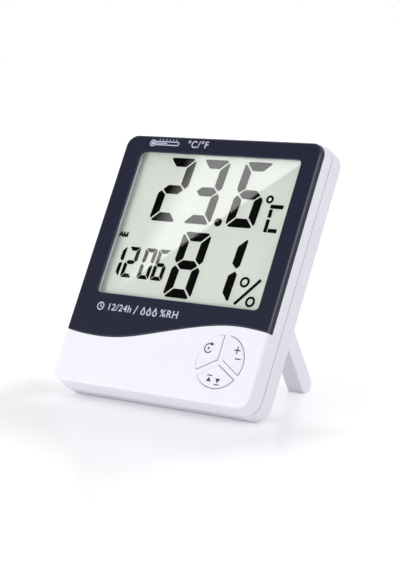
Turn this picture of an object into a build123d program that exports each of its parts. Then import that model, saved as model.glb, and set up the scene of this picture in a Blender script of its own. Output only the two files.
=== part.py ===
from build123d import *
import math
import os

# Desk clock with a thermometer and a hygrometer, in millimetres.
# Every piece is drawn in the case's own frame: X to the right seen from the front, Y from the
# front face (0) to the back, Z up along the case from its lower end (0).
# The finished pieces are then leaned back together onto the open stand.

# Case
case_width = 98.0
case_height = 110.0
case_corner_radius = 6.5
front_draw_in = 1.5
front_edge_radius = 1.0
rear_edge_radius = 3.6
side_wall = 2.0
rear_wall = 1.6
lower_front_wall = 1.8
parting_depth = 6.4
parting_gap = 0.4
tongue_thickness = 0.9
tongue_reach = 1.2
tongue_clearance = 0.15
snap_tab_width = 8.0
snap_tab_offset = 22.0
snap_tab_reach = 2.5
snap_tab_thickness = 0.9
snap_tab_clearance = 0.1
overrun = 3.0

# Dark face panel and its wavy lower edge
panel_gap = 0.25
panel_thickness = 2.1
panel_backing = 1.4
wave_trough = 21.55
wave_crest = 32.52
wave_shares = [(-1.05, 0.187), (-0.85, 0.053), (-0.65, 0.0), (-0.40, 0.0665), (-0.13, 0.3236),
               (0.19, 0.681), (0.46, 0.9225), (0.65, 1.0), (0.85, 0.9617), (1.05, 0.848)]

# Window and lens
window_left_margin = 10.3
window_right_margin = 9.2
window_top_margin = 8.7
window_bottom = 39.4
window_radius = 2.0
lens_inset = 0.9
lens_margin = 2.0
lens_clearance = 0.15
display_opening_margin = 0.8

# Display cell, its frame and its connector
cell_margin = 1.6
glass_thickness = 0.85
contact_ledge = 3.2
reflector_thickness = 0.2
segment_thickness = 0.15
frame_clearance = 0.3
frame_wall = 1.0
connector_thickness = 2.3
connector_side_gap = 4.8
connector_clearance = 0.3

# Figures on the display: widths and places along X are shares of the window's width,
# everything else is a share of its height
big_digit_shares = {"width": 0.173, "height": 0.4478, "stroke": 0.0608, "chamfer": 0.0272}
small_digit_shares = {"width": 0.0745, "height": 0.2127, "stroke": 0.0267, "chamfer": 0.0106}
bar_gap_share = 0.075
slant_share = 0.05
temperature_row_share = 0.7617
humidity_row_share = 0.257
time_row_share = 0.2382
temperature_place_shares = [0.2522, 0.465, 0.7311]
humidity_place_shares = [0.4841, 0.7096]
time_place_shares = [0.0382, 0.1274, 0.2357, 0.3209]
point_shares = (0.591, 0.5614)
point_radius_share = 0.0282
degree_shares = (0.8573, 0.7407)
degree_radius_share = 0.0274
unit_stroke_share = 0.0252
unit_letter_shares = {"left": 0.8726, "width": 0.0757, "base": 0.521, "height": 0.1855}
percent_ring_shares = [(0.8535, 0.185), (0.9172, 0.063)]
percent_ring_radius_share = 0.0348
percent_slash_shares = [(0.8293, 0.0372), (0.9427, 0.21)]
percent_slash_stroke_share = 0.0202
ring_stroke_share = 0.0146
morning_letter_shares = {"left": 0.0, "base": 0.4071, "width": 0.0242, "height": 0.0353,
                         "pitch": 0.0291}
morning_stroke_share = 0.0085

# Circuit board
board_gap = 0.7
board_thickness = 1.0
board_side_gap = 9.4
board_top_gap = 6.2
board_drop = 10.2
board_leg_width = 24.0
board_leg_bottom = 6.0
board_screw_margin = 2.1
board_middle_screw_share = 0.3
board_boss_radius = 1.9
board_screw_radius = 0.8
board_screw_head_radius = 1.7
board_screw_head_height = 1.0
board_screw_length = 3.4
screw_clearance = 0.05

# Pieces on the board, placed by shares of its half width and of its height
chip_place_shares = (0.15, 0.655)
chip_radius = 6.5
chip_height = 1.5
chip_edge_radius = 1.2
crystal_place_shares = (0.5, 0.735)
crystal_radius = 1.0
crystal_length = 6.0
capacitor_place_shares = [(-0.2, 0.55), (-0.2, 0.615), (0.48, 0.55), (0.6, 0.55), (0.6, 0.84)]
capacitor_width = 2.0
capacitor_height = 1.25
capacitor_thickness = 0.9
reservoir_place_shares = (0.35, 0.88)
reservoir_radius = 2.5
reservoir_height = 5.4
thermistor_place_shares = (-0.83, 0.895)
thermistor_bead_radius = 1.1
thermistor_stand_off = 4.0
thermistor_lead_radius = 0.25
thermistor_lead_pitch = 1.2
sensor_place_shares = (-0.78, 0.735)
sensor_width = 9.0
sensor_height = 11.0
sensor_thickness = 3.6
sensor_slot_width = 0.8
sensor_slot_pitch = 1.8
sensor_slot_count = 4
sensor_slot_depth = 1.2
sensor_slot_margin = 1.5

# Front buttons
button_side_margin = 19.1
button_height = 17.85
button_circle_radius = 10.7
button_gap = 0.25
button_rib_width = 2.0
button_proud = 0.5
button_travel = 0.7
button_flange_margin = 0.8
button_flange_thickness = 0.7
button_flange_gap = 0.1
button_edge_radius = 0.3
button_stem_radius = 1.6
button_stem_length = 1.0
button_stem_reach = 6.2
button_angles = {"mode_button": 150.0, "adjust_button": 30.0, "memory_button": 270.0}
button_pocket_margin = 0.8
membrane_thickness = 0.6
membrane_nub_radius = 2.0
membrane_margin = 0.4
press_clearance = 0.1

# Buttons on the back
rear_button_place_shares = {"unit_button": (-0.76, 0.495), "reset_button": (-0.76, 0.334)}
rear_button_radii = {"unit_button": 2.4, "reset_button": 1.5}
rear_button_clearance = 0.2
rear_button_flange_margin = 0.8
rear_button_flange_thickness = 0.8
rear_button_flange_gap = 0.1
rear_button_recess = 0.3
rear_button_travel = 0.5
rear_stem_radius = 1.2
switch_width = 6.0
switch_height = 3.4
plunger_radius = 1.6
plunger_height = 0.5

# Stand
stand_side_margin = 22.3
stand_width = 7.8
stand_board_gap = 0.3
stand_length = 57.66
stand_open_angle = 57.96
stand_axis_height = 60.47
stand_axis_inset = 1.6
stand_top_reach = 6.3
stand_foot_radius = 3.4
stand_edge_radius = 0.4
stand_side_gap = 0.3
stand_floor_gap = 0.3
stand_top_gap = 0.5
stand_pin_radius = 0.8
stand_pin_running_clearance = 0.05
stand_recess_wall = 1.6
stand_recess_floor = 1.3
stand_recess_bottom = 1.0
scoop_radius = 6.0
scoop_depth = 3.2
scoop_height = 14.0

# Battery, its compartment and its door
cell_radius = 5.25
cell_length = 44.5
cell_cap_radius = 1.9
cell_cap_length = 1.0
cell_rim_radius = 0.5
cell_side_margin = 15.4
cell_centre_z = 12.0
cell_gap = 0.3
compartment_wall = 1.2
compartment_front_gap = 0.6
contact_thickness = 0.4
minus_space = 3.4
plus_space = 1.6
contact_height = 8.0
contact_depth = 8.0
contact_tag_width = 2.4
contact_tag_reach = 1.6
contact_tag_clearance = 0.1
contact_dimple_radius = 2.2
contact_spring_thickness = 0.35
door_thickness = 1.35
door_margin_x = 1.6
door_margin_z = 1.6
door_gap = 0.25
door_seat_gap = 0.15
door_seat_thickness = 1.3
door_seat_margin = 1.2
door_barrel_radius = 1.1
door_barrel_gap = 0.2
door_lug_radius = 0.6
door_lug_length = 1.2
door_lug_clearance = 0.08
door_notch_radius = 5.0
door_notch_depth = 0.9
door_rib_count = 5
door_rib_pitch = 1.1
door_rib_width = 0.5
door_rib_length = 12.0
door_rib_height = 0.2
lead_radius = 0.6
lead_rise = 4.0
lead_run = 6.0
lead_climb = 8.0

# Back details
shell_screw_side_margin = 6.0
shell_screw_heights = [6.4, 29.6]
shell_boss_radius = 2.4
shell_post_radius = 2.9
shell_screw_radius = 1.1
shell_screw_head_radius = 1.9
shell_screw_head_height = 1.3
shell_screw_length = 5.6
shell_screw_pocket_radius = 2.2
shell_screw_seat_depth = 8.2
driver_slot_width = 0.5
driver_slot_depth = 0.5
keyhole_top_drop = 19.0
keyhole_radius = 4.0
keyhole_slot_radius = 2.0
keyhole_rise = 6.5
keyhole_pocket_margin = 0.8
keyhole_pocket_depth = 3.2
vent_place_shares = (-0.78, 0.775)
vent_count = 6
vent_pitch = 2.8
vent_width = 1.3
vent_length = 15.0
buzzer_place_shares = (-0.15, 0.227)
buzzer_radius = 10.0
buzzer_thickness = 0.5
buzzer_hole_radius = 0.7
buzzer_hole_ring = 2.4
buzzer_hole_count = 6

# Small rounds that break the sharp edges
edge_round = 0.2
wave_edge_round = 0.15
panel_edge_round = 0.25

# The case is as deep as the cell in its compartment needs
case_depth = (lower_front_wall + compartment_front_gap + compartment_wall + cell_gap
              + 2 * cell_radius + rear_wall)
rear_start = parting_depth + parting_gap
rear_inside = case_depth - rear_wall

# Window
window_width = case_width - window_left_margin - window_right_margin
window_height = case_height - window_top_margin - window_bottom
window_left = window_left_margin - case_width / 2
window_centre_x = window_left + window_width / 2
window_centre_z = window_bottom + window_height / 2

# Display stack, from the panel's seat to the board's back
display_depth = panel_thickness + panel_backing
inner_glass_depth = display_depth + glass_thickness
reflector_depth = inner_glass_depth + glass_thickness
board_depth = reflector_depth + reflector_thickness + board_gap
board_back = board_depth + board_thickness
cell_width = window_width + 2 * cell_margin
cell_height = window_height + 2 * cell_margin
cell_low = window_bottom - cell_margin
cell_high = cell_low + cell_height
cell_left = window_left - cell_margin
cell_right = cell_left + cell_width

# Board
board_half_width = case_width / 2 - board_side_gap
board_top = case_height - board_top_gap
board_bottom = window_bottom - board_drop
board_leg_left = board_half_width - board_leg_width


def on_board(shares):
    """A place on the board, from shares of its half width and of its height."""
    return shares[0] * board_half_width, board_bottom + shares[1] * (board_top - board_bottom)


board_screw_places = [
    (board_screw_margin - board_half_width, board_bottom + board_screw_margin),
    (board_middle_screw_share * board_half_width, board_bottom + board_screw_margin),
    (board_half_width - board_screw_margin, board_bottom + board_screw_margin),
    (board_leg_left + board_screw_margin, board_leg_bottom + board_screw_margin)]
rear_button_places = {name: on_board(shares) for name, shares in rear_button_place_shares.items()}
shell_screw_places = [(side * (case_width / 2 - shell_screw_side_margin), height)
                      for height in shell_screw_heights for side in (-1, 1)]
button_centre = (case_width / 2 - button_side_margin, button_height)
keyhole_place = (0, case_height - keyhole_top_drop)


def prism(outline, near, far):
    """An outline in X and Z, drawn out from one depth to another."""
    plane = Plane(origin=(0, near, 0), x_dir=(1, 0, 0), z_dir=(0, -1, 0))
    return extrude(plane * outline, amount=far - near, dir=(0, 1, 0))


def slab(left, right, near, far, low, high):
    return Pos((left + right) / 2, (near + far) / 2, (low + high) / 2) * Box(
        right - left, far - near, high - low)


def post(place, radius, near, far):
    return prism(Pos(*place) * Circle(radius), near, far)


def rounded(width, height, radius, centre_x, centre_z):
    return Pos(centre_x, centre_z) * RectangleRounded(width, height, radius)


def case_outline(inset):
    """The case's outline seen from the front, drawn in by an inset."""
    return rounded(case_width - 2 * inset, case_height - 2 * inset, case_corner_radius - inset,
                   0, case_height / 2)


def outer_body():
    """Both halves together: the front half narrows from the parting line to a crisp front edge."""
    body = prism(case_outline(0), 0, case_depth)
    front = body.faces().sort_by(Axis.Y)[0]
    body = chamfer(front.edges(), front_draw_in, parting_depth, reference=front)
    body = fillet(body.faces().sort_by(Axis.Y)[0].edges(), front_edge_radius)
    return fillet(body.faces().sort_by(Axis.Y)[-1].edges(), rear_edge_radius)


def above_wave(drop):
    """Everything above the wavy edge, with the edge lowered by a drop."""
    half = case_width / 2
    points = [(x * half, wave_trough + z * (wave_crest - wave_trough) - drop) for x, z in wave_shares]
    top = case_height + overrun
    edge = Spline(*points)
    sides = Polyline(points[-1], (points[-1][0], top), (points[0][0], top), points[0])
    return make_face(edge + sides)


def window_outline(margin):
    return rounded(window_width + 2 * margin, window_height + 2 * margin, window_radius,
                   window_centre_x, window_centre_z)


def flat_face(piece, depth):
    """The largest face of a piece that lies flat at a depth."""
    faces = piece.faces().filter_by(Plane.XZ)
    return min(faces, key=lambda face: (round(abs(face.center().Y - depth), 3), -face.area))


def face_panel(body):
    """Dark panel: its edge flush with the case's sides, its rear face flat on the shell."""
    outline = case_outline(0) & above_wave(0)
    panel = body & prism(outline, -overrun, panel_thickness)
    panel -= prism(window_outline(0), -overrun, panel_thickness + overrun)
    panel -= prism(window_outline(lens_margin), lens_inset, panel_thickness + overrun)
    panel = fillet(flat_face(panel, 0).inner_wires().edges(), panel_edge_round)
    return fillet(flat_face(panel, 0).edges().filter_by(GeomType.BSPLINE), panel_edge_round)


def window_lens():
    return prism(window_outline(lens_margin - lens_clearance), lens_inset, panel_thickness)


def button_sector(angle, shrink, radius):
    """One of the three sectors between the ribs, as an outline."""
    far = 2 * button_circle_radius
    apart = (button_rib_width / 2 + shrink) / math.sin(math.radians(60))
    tip = (apart * math.cos(math.radians(angle)), apart * math.sin(math.radians(angle)))
    sides = [(tip[0] + far * math.cos(math.radians(angle + turn)),
              tip[1] + far * math.sin(math.radians(angle + turn))) for turn in (-60, 0, 60)]
    wedge = Polygon(tip, *sides, align=None)
    return Pos(*button_centre) * (Circle(radius) & wedge)


def boss_foot(place):
    """Depth inside the front wall where a boss starts."""
    if place[1] < wave_trough - side_wall:
        return lower_front_wall / 2
    return panel_thickness + panel_backing / 2


def front_shell(body):
    """Front half of the case with the panel's seat, the display opening and the button holes."""
    shell = body & slab(-case_width, case_width, -overrun, parting_depth, -overrun, case_height + overrun)
    shell -= prism(case_outline(side_wall), display_depth, parting_depth + overrun)
    rebate = case_outline(side_wall - tongue_thickness - tongue_clearance)
    shell -= prism(rebate, rear_start - tongue_reach - parting_gap, parting_depth + overrun)
    pocket = case_outline(-overrun) & above_wave(panel_gap)
    shell -= prism(pocket, -overrun, panel_thickness)
    shell -= prism(window_outline(display_opening_margin), -overrun, display_depth + overrun)
    lower = rounded(case_width - 2 * side_wall, wave_trough - 2 * side_wall, case_corner_radius - side_wall,
                    0, wave_trough / 2)
    shell -= prism(lower, lower_front_wall, display_depth + overrun)
    pocket_radius = button_circle_radius + button_flange_margin + button_pocket_margin
    shell -= post(button_centre, pocket_radius, lower_front_wall, display_depth + overrun)
    for angle in button_angles.values():
        shell -= prism(button_sector(angle, 0, button_circle_radius), -overrun, lower_front_wall + overrun)
    for place in board_screw_places:
        shell += post(place, board_boss_radius, boss_foot(place), board_depth)
    for place in shell_screw_places:
        shell += post(place, shell_boss_radius, boss_foot(place), rear_start)
    for place in board_screw_places:
        tip = board_back - board_screw_length
        shell -= post(place, board_screw_radius + screw_clearance, tip, board_depth + overrun)
    for place in shell_screw_places:
        tip = shell_screw_seat_depth - shell_screw_length
        shell -= post(place, shell_screw_radius + screw_clearance, tip, rear_start + overrun)
    shell = fillet(flat_face(shell, 0).inner_wires().edges(), edge_round)
    shell = fillet(flat_face(shell, 0).edges().filter_by(GeomType.BSPLINE), wave_edge_round)
    return fillet(flat_face(shell, parting_depth).outer_wire().edges(), edge_round)


def display_glass():
    """Display cell: an outer plate with a bare contact ledge below, and an inner plate."""
    outer = slab(cell_left, cell_right, display_depth, inner_glass_depth,
                 cell_low - contact_ledge, cell_high)
    inner = slab(cell_left, cell_right, inner_glass_depth, reflector_depth, cell_low, cell_high)
    return outer + inner


def display_reflector():
    return slab(cell_left, cell_right, reflector_depth, reflector_depth + reflector_thickness,
                cell_low, cell_high)


def display_frame():
    low = cell_low - contact_ledge - frame_clearance
    high = cell_high + frame_clearance
    left = cell_left - frame_clearance
    right = cell_right + frame_clearance
    ring = slab(left - frame_wall, right + frame_wall, display_depth, board_depth,
                low - frame_wall, high + frame_wall)
    return ring - slab(left, right, display_depth - overrun, board_depth + overrun, low, high)


def zebra_connector():
    """Rubber strip that joins the cell's contact ledge to the board."""
    low = cell_low - contact_ledge + connector_clearance
    return slab(cell_left + connector_side_gap, cell_right - connector_side_gap,
                inner_glass_depth, board_depth, low, low + connector_thickness)


def on_window(shares):
    """A place on the display, from shares of the window's width and height."""
    return window_left + shares[0] * window_width, window_bottom + shares[1] * window_height


def digit_outlines(lit, place, shares):
    """The lit bars of a seven-bar figure, as outlines."""
    centre, row = place
    w, h = shares["width"] * window_width / 2, shares["height"] * window_height / 2
    t, k = shares["stroke"] * window_height, shares["chamfer"] * window_height
    g, m = bar_gap_share * t, t / 2
    top = [(-w + k, h), (w - k, h), (w - k / 2 - g, h - k / 2 + g), (w - t - 2 * g, h - t),
           (-w + t + 2 * g, h - t), (-w + k / 2 + g, h - k / 2 + g)]
    upper = [(w - k / 2 + g, h - k / 2 - g), (w, h - k), (w, m), (w - t / 3, 2 * g),
             (w - t, m + 2 * g), (w - t, h - t - 2 * g)]
    middle = [(-w + t / 2, 0), (-w + t + g, m), (w - t - g, m), (w - t / 2, 0),
              (w - t - g, -m), (-w + t + g, -m)]

    def turned(points, sx, sz):
        return [(sx * x, sz * z) for x, z in points]

    bars = {"a": top, "b": upper, "c": turned(upper, 1, -1), "d": turned(top, 1, -1),
            "e": turned(upper, -1, -1), "f": turned(upper, -1, 1), "g": middle}
    return [Polygon(*[(centre + x + slant_share * z, row + z) for x, z in bars[name]], align=None)
            for name in lit]


def stroke_outline(start, end, width):
    """A straight bar between two points."""
    dx, dz = end[0] - start[0], end[1] - start[1]
    bar = Rectangle(math.hypot(dx, dz), width)
    middle = ((start[0] + end[0]) / 2, (start[1] + end[1]) / 2)
    return Pos(*middle) * Rot(0, 0, math.degrees(math.atan2(dz, dx))) * bar


def ring_outline(shares, radius_share):
    radius, stroke = radius_share * window_height, ring_stroke_share * window_height
    return Pos(*on_window(shares)) * (Circle(radius) - Circle(radius - stroke))


def display_marks():
    """Dark figures and signs of the display, on the front of the cell."""
    figures = {"0": "abcdef", "1": "bc", "2": "abged", "3": "abgcd", "6": "afgedc", "8": "abcdefg"}
    outlines = []
    for text, place_shares, row_share, shares in (
            ("236", temperature_place_shares, temperature_row_share, big_digit_shares),
            ("81", humidity_place_shares, humidity_row_share, big_digit_shares),
            ("1206", time_place_shares, time_row_share, small_digit_shares)):
        for figure, place_share in zip(text, place_shares):
            outlines += digit_outlines(figures[figure], on_window((place_share, row_share)), shares)
    outlines.append(Pos(*on_window(point_shares)) * Circle(point_radius_share * window_height))
    outlines.append(ring_outline(degree_shares, degree_radius_share))
    outlines += [ring_outline(shares, percent_ring_radius_share) for shares in percent_ring_shares]
    slash = [on_window(shares) for shares in percent_slash_shares]
    outlines.append(stroke_outline(*slash, percent_slash_stroke_share * window_height))
    outlines += unit_letter() + morning_mark()
    near = display_depth - segment_thickness
    return Compound([solid for outline in outlines
                     for solid in prism(outline, near, display_depth).solids()])


def unit_letter():
    """The C of the temperature unit."""
    stroke = unit_stroke_share * window_height
    half = stroke / 2
    left, low = on_window((unit_letter_shares["left"], unit_letter_shares["base"]))
    right = left + unit_letter_shares["width"] * window_width
    high = low + unit_letter_shares["height"] * window_height
    left, low, high = left + half, low + half, high - half
    middle = (low + high) / 2
    gap = half / 2
    return [stroke_outline((left - half, high), (right, high), stroke),
            stroke_outline((left, high - half - gap), (left, middle + gap), stroke),
            stroke_outline((left, middle - gap), (left, low - half), stroke),
            stroke_outline((left + half + gap, low), (right, low), stroke)]


def morning_mark():
    """The small letters A and M over the time."""
    x, z = on_window((morning_letter_shares["left"], morning_letter_shares["base"]))
    w = morning_letter_shares["width"] * window_width
    h = morning_letter_shares["height"] * window_height
    a = [((x, z), (x + w / 2, z + h)), ((x + w, z), (x + w / 2, z + h)),
         ((x + w / 4, z + h / 3), (x + 3 * w / 4, z + h / 3))]
    x += morning_letter_shares["pitch"] * window_width
    m = [((x, z), (x, z + h)), ((x, z + h), (x + w / 2, z)), ((x + w / 2, z), (x + w, z + h)),
         ((x + w, z + h), (x + w, z))]
    letters = []
    for strokes in (a, m):
        bars = [stroke_outline(start, end, morning_stroke_share * window_height) for start, end in strokes]
        letter = bars[0]
        for bar in bars[1:]:
            letter += bar
        letters.append(letter)
    return letters


def circuit_board():
    main = slab(-board_half_width, board_half_width, board_depth, board_back, board_bottom, board_top)
    leg = slab(board_leg_left, board_half_width, board_depth, board_back, board_leg_bottom,
               board_bottom + overrun)
    board = main + leg
    for place in board_screw_places:
        board -= post(place, board_screw_radius + screw_clearance,
                      board_depth - overrun, board_back + overrun)
    return board


def screw(place, seat, radius, length, head_radius, head_height):
    """A screw that enters from the back: its head lies behind the seat."""
    body = post(place, radius, seat - length, seat + head_height / 2)
    head = post(place, head_radius, seat, seat + head_height)
    slot_near = seat + head_height - driver_slot_depth
    for turn in (0, 90):
        slot = Rot(0, 0, turn) * Rectangle(2 * head_radius * 0.7, driver_slot_width)
        head -= prism(Pos(*place) * slot, slot_near, seat + head_height + overrun)
    return body + head


def board_screws():
    return Compound([screw(place, board_back, board_screw_radius, board_screw_length,
                           board_screw_head_radius, board_screw_head_height)
                     for place in board_screw_places])


def shell_screws():
    return Compound([screw(place, shell_screw_seat_depth, shell_screw_radius, shell_screw_length,
                           shell_screw_head_radius, shell_screw_head_height)
                     for place in shell_screw_places])


def chip_blob():
    blob = post(on_board(chip_place_shares), chip_radius, board_back, board_back + chip_height)
    return fillet(blob.faces().sort_by(Axis.Y)[-1].edges(), chip_edge_radius)


def clock_crystal():
    x, z = on_board(crystal_place_shares)
    return Pos(x, board_back + crystal_radius, z) * Cylinder(crystal_radius, crystal_length)


def board_capacitors():
    chips = [slab(x - capacitor_width / 2, x + capacitor_width / 2, board_back,
                  board_back + capacitor_thickness, z - capacitor_height / 2, z + capacitor_height / 2)
             for x, z in map(on_board, capacitor_place_shares)]
    chips.append(post(on_board(reservoir_place_shares), reservoir_radius, board_back,
                      board_back + reservoir_height))
    return Compound(chips)


def thermistor():
    x, z = on_board(thermistor_place_shares)
    bead = Pos(x, board_back + thermistor_stand_off, z) * Sphere(thermistor_bead_radius)
    for side in (-1, 1):
        place = (x + side * thermistor_lead_pitch / 2, z)
        bead += post(place, thermistor_lead_radius, board_back, board_back + thermistor_stand_off)
    return bead


def humidity_sensor():
    """Slotted white box over the humidity element."""
    x, z = on_board(sensor_place_shares)
    face = board_back + sensor_thickness
    box = slab(x - sensor_width / 2, x + sensor_width / 2, board_back, face,
               z - sensor_height / 2, z + sensor_height / 2)
    first = z - (sensor_slot_count - 1) * sensor_slot_pitch / 2
    for index in range(sensor_slot_count):
        height = first + index * sensor_slot_pitch
        box -= slab(x - sensor_width / 2 + sensor_slot_margin, x + sensor_width / 2 - sensor_slot_margin,
                    face - sensor_slot_depth, face + overrun,
                    height - sensor_slot_width / 2, height + sensor_slot_width / 2)
    return box


def stem_place(angle):
    return (button_centre[0] + button_stem_reach * math.cos(math.radians(angle)),
            button_centre[1] + button_stem_reach * math.sin(math.radians(angle)))


flange_near = lower_front_wall + button_flange_gap
flange_far = flange_near + button_flange_thickness
stem_end = flange_far + button_stem_length


def front_button(angle):
    """One sector button: cap, flange behind the wall and a stem towards the rubber pad."""
    cap = prism(button_sector(angle, button_gap, button_circle_radius - button_gap),
                -button_proud, flange_near + button_flange_thickness / 2)
    cap = fillet(cap.faces().sort_by(Axis.Y)[0].edges(), button_edge_radius)
    flange = button_sector(angle, -button_rib_width / 2 + button_gap,
                           button_circle_radius + button_flange_margin)
    return cap + prism(flange, flange_near, flange_far) + post(
        stem_place(angle), button_stem_radius, flange_near, stem_end)


def button_membrane():
    """Rubber pad on the board with one nub under each button's stem."""
    near = board_depth - membrane_thickness
    outline = Pos(*button_centre) * Circle(button_circle_radius + membrane_margin)
    limit = slab(board_leg_left, board_half_width, -overrun, board_back,
                 board_leg_bottom, case_height)
    pad = prism(outline, near, board_depth) & limit
    for angle in button_angles.values():
        pad += post(stem_place(angle), membrane_nub_radius,
                    stem_end + button_travel + press_clearance, board_depth)
    return pad


switch_top = board_back + switch_height + plunger_height
rear_flange_far = rear_inside - rear_button_flange_gap
rear_flange_near = rear_flange_far - rear_button_flange_thickness


def rear_button(name):
    place, radius = rear_button_places[name], rear_button_radii[name]
    cap = post(place, radius, rear_flange_near, case_depth - rear_button_recess)
    flange = post(place, radius + rear_button_flange_margin, rear_flange_near, rear_flange_far)
    stem = post(place, rear_stem_radius, switch_top + rear_button_travel + press_clearance,
                rear_flange_far)
    return cap + flange + stem


def rear_switches():
    half = switch_width / 2
    switches = []
    for x, z in rear_button_places.values():
        body = slab(x - half, x + half, board_back, board_back + switch_height, z - half, z + half)
        switches.append(body + post((x, z), plunger_radius, board_back, switch_top))
    return Compound(switches)


stand_axis_depth = case_depth - stand_axis_inset
recess_floor = board_back + stand_board_gap + stand_recess_floor
stand_front = stand_axis_depth - stand_floor_gap - recess_floor
stand_thickness = stand_front + stand_axis_inset
stand_centre_x = case_width / 2 - stand_side_margin
stand_left = stand_centre_x - stand_width / 2
stand_right = stand_centre_x + stand_width / 2
recess_left = stand_left - stand_side_gap
recess_right = stand_right + stand_side_gap
recess_top = stand_axis_height + math.hypot(stand_top_reach, stand_axis_inset) + stand_top_gap


def turn_open(y, z):
    """A point of the folded stand, relative to its axis, once the stand is open."""
    angle = math.radians(stand_open_angle)
    return y * math.cos(angle) - z * math.sin(angle), y * math.sin(angle) + z * math.cos(angle)


foot_y, foot_z = turn_open(-stand_front, -stand_length)
foot_point = (stand_axis_depth + foot_y, stand_axis_height + foot_z)
edge_centre = (case_depth - rear_edge_radius, rear_edge_radius)
reach_y = edge_centre[0] - foot_point[0]
reach_z = edge_centre[1] - foot_point[1]
lean_angle = -math.degrees(math.atan2(reach_y, reach_z)
                           + math.acos(rear_edge_radius / math.hypot(reach_y, reach_z)))


def stand_leg():
    """The leg, drawn folded into the back and then opened about its pin."""
    open_turn = math.radians(stand_open_angle)
    cut = math.radians(stand_open_angle - lean_angle)
    touch = (-stand_front * math.cos(open_turn), stand_front * math.sin(open_turn))
    middle = (-stand_front * math.cos(open_turn / 2), stand_front * math.sin(open_turn / 2))
    facet = (stand_top_reach - touch[1]) / math.cos(open_turn)
    facet_end = (touch[0] + facet * math.sin(open_turn), stand_top_reach)
    heel = (stand_axis_inset, -stand_length - stand_thickness * math.tan(cut))
    outline = ThreePointArc((-stand_front, 0), middle, touch) + Polyline(
        touch, facet_end, (stand_axis_inset, stand_top_reach), heel,
        (-stand_front, -stand_length), (-stand_front, 0))
    profile = make_face(outline)
    profile = fillet(profile.vertices().sort_by(Axis.Y)[0], stand_foot_radius)
    side = Plane(origin=(stand_left, 0, 0), x_dir=(0, 1, 0), z_dir=(1, 0, 0))
    leg = extrude(side * profile, amount=stand_width)
    leg = fillet(leg.edges(), stand_edge_radius)
    bore = Pos(stand_centre_x, 0, 0) * Rot(0, 90, 0) * Cylinder(
        stand_pin_radius + stand_pin_running_clearance, stand_width + overrun)
    return Pos(0, stand_axis_depth, stand_axis_height) * Rot(stand_open_angle, 0, 0) * (leg - bore)


def stand_pin():
    length = recess_right - recess_left + 2 * stand_recess_wall
    return Pos(stand_centre_x, stand_axis_depth, stand_axis_height) * Rot(0, 90, 0) * Cylinder(
        stand_pin_radius, length)


cell_start = cell_side_margin - case_width / 2
cell_depth = rear_inside - cell_radius
inner_left = cell_start - minus_space
inner_right = cell_start + cell_length + plus_space
inner_low = cell_centre_z - cell_radius - cell_gap
inner_high = cell_centre_z + cell_radius + cell_gap
inner_floor = cell_depth - cell_radius - cell_gap
door_left = inner_left - door_margin_x
door_right = inner_right + door_margin_x
door_low = inner_low - door_margin_z
door_high = inner_high + door_margin_z
door_near = case_depth - door_thickness
door_seat = door_near - door_seat_gap
door_axis = (case_depth - door_barrel_radius, door_low + door_barrel_radius)


def rod(start_x, end_x, radius, depth, height):
    """A round bar along X."""
    return Pos((start_x + end_x) / 2, depth, height) * Rot(0, 90, 0) * Cylinder(radius, end_x - start_x)


def battery_door():
    """Door that turns on two lugs at its lower edge."""
    plate = slab(door_left, door_right, door_near, case_depth, door_axis[1], door_high)
    plate = fillet(flat_face(plate, case_depth).edges().sort_by(Axis.Z)[1:], edge_round)
    plate += rod(door_left, door_right, door_barrel_radius, *door_axis)
    plate += rod(door_left - door_lug_length, door_right + door_lug_length, door_lug_radius, *door_axis)
    middle = (door_left + door_right) / 2
    first = door_high - 2 * door_notch_depth - door_rib_count * door_rib_pitch
    for index in range(door_rib_count):
        low = first + index * door_rib_pitch
        plate += slab(middle - door_rib_length / 2, middle + door_rib_length / 2, door_near,
                      case_depth + door_rib_height, low, low + door_rib_width)
    return plate


def battery_cell():
    body_end = cell_start + cell_length - cell_cap_length
    can = rod(cell_start, body_end, cell_radius, cell_depth, cell_centre_z)
    can = fillet(can.edges().filter_by(GeomType.CIRCLE), cell_rim_radius)
    return can + rod(body_end - cell_rim_radius, body_end + cell_cap_length, cell_cap_radius,
                     cell_depth, cell_centre_z)


def contact_plate(left):
    """Flat contact against an end wall, with a solder tag through the upper wall."""
    low, high = cell_centre_z - contact_height / 2, cell_centre_z + contact_height / 2
    near, far = cell_depth - contact_depth / 2, cell_depth + contact_depth / 2
    plate = slab(left, left + contact_thickness, near, far, low, high)
    half = contact_tag_width / 2
    return plate + slab(left, left + contact_thickness, cell_depth - half, cell_depth + half, high,
                        inner_high + compartment_wall + contact_tag_reach)


def battery_minus_contact():
    """Folded leaf that presses on the cell's flat end."""
    plate = contact_plate(inner_left)
    reach = minus_space - contact_spring_thickness
    half = contact_depth / 2 - contact_spring_thickness
    width = contact_height / 2
    near, far = cell_depth - half, cell_depth + half
    tip = inner_left + reach
    leaf = [(inner_left, far), (tip, cell_depth), (inner_left + reach / 2, near)]
    for start, end in zip(leaf, leaf[1:]):
        dx, dy = end[0] - start[0], end[1] - start[1]
        bar = Box(math.hypot(dx, dy) + contact_spring_thickness, contact_spring_thickness, width)
        plate += Pos((start[0] + end[0]) / 2, (start[1] + end[1]) / 2, cell_centre_z) * Rot(
            0, 0, math.degrees(math.atan2(dy, dx))) * bar
    return plate & slab(inner_left, cell_start, inner_floor, rear_inside, inner_low, case_height)


def battery_plus_contact():
    plate = contact_plate(inner_right - contact_thickness)
    return plate + rod(cell_start + cell_length, inner_right - contact_thickness / 2,
                       contact_dimple_radius, cell_depth, cell_centre_z)


tag_top = inner_high + compartment_wall + contact_tag_reach


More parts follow.
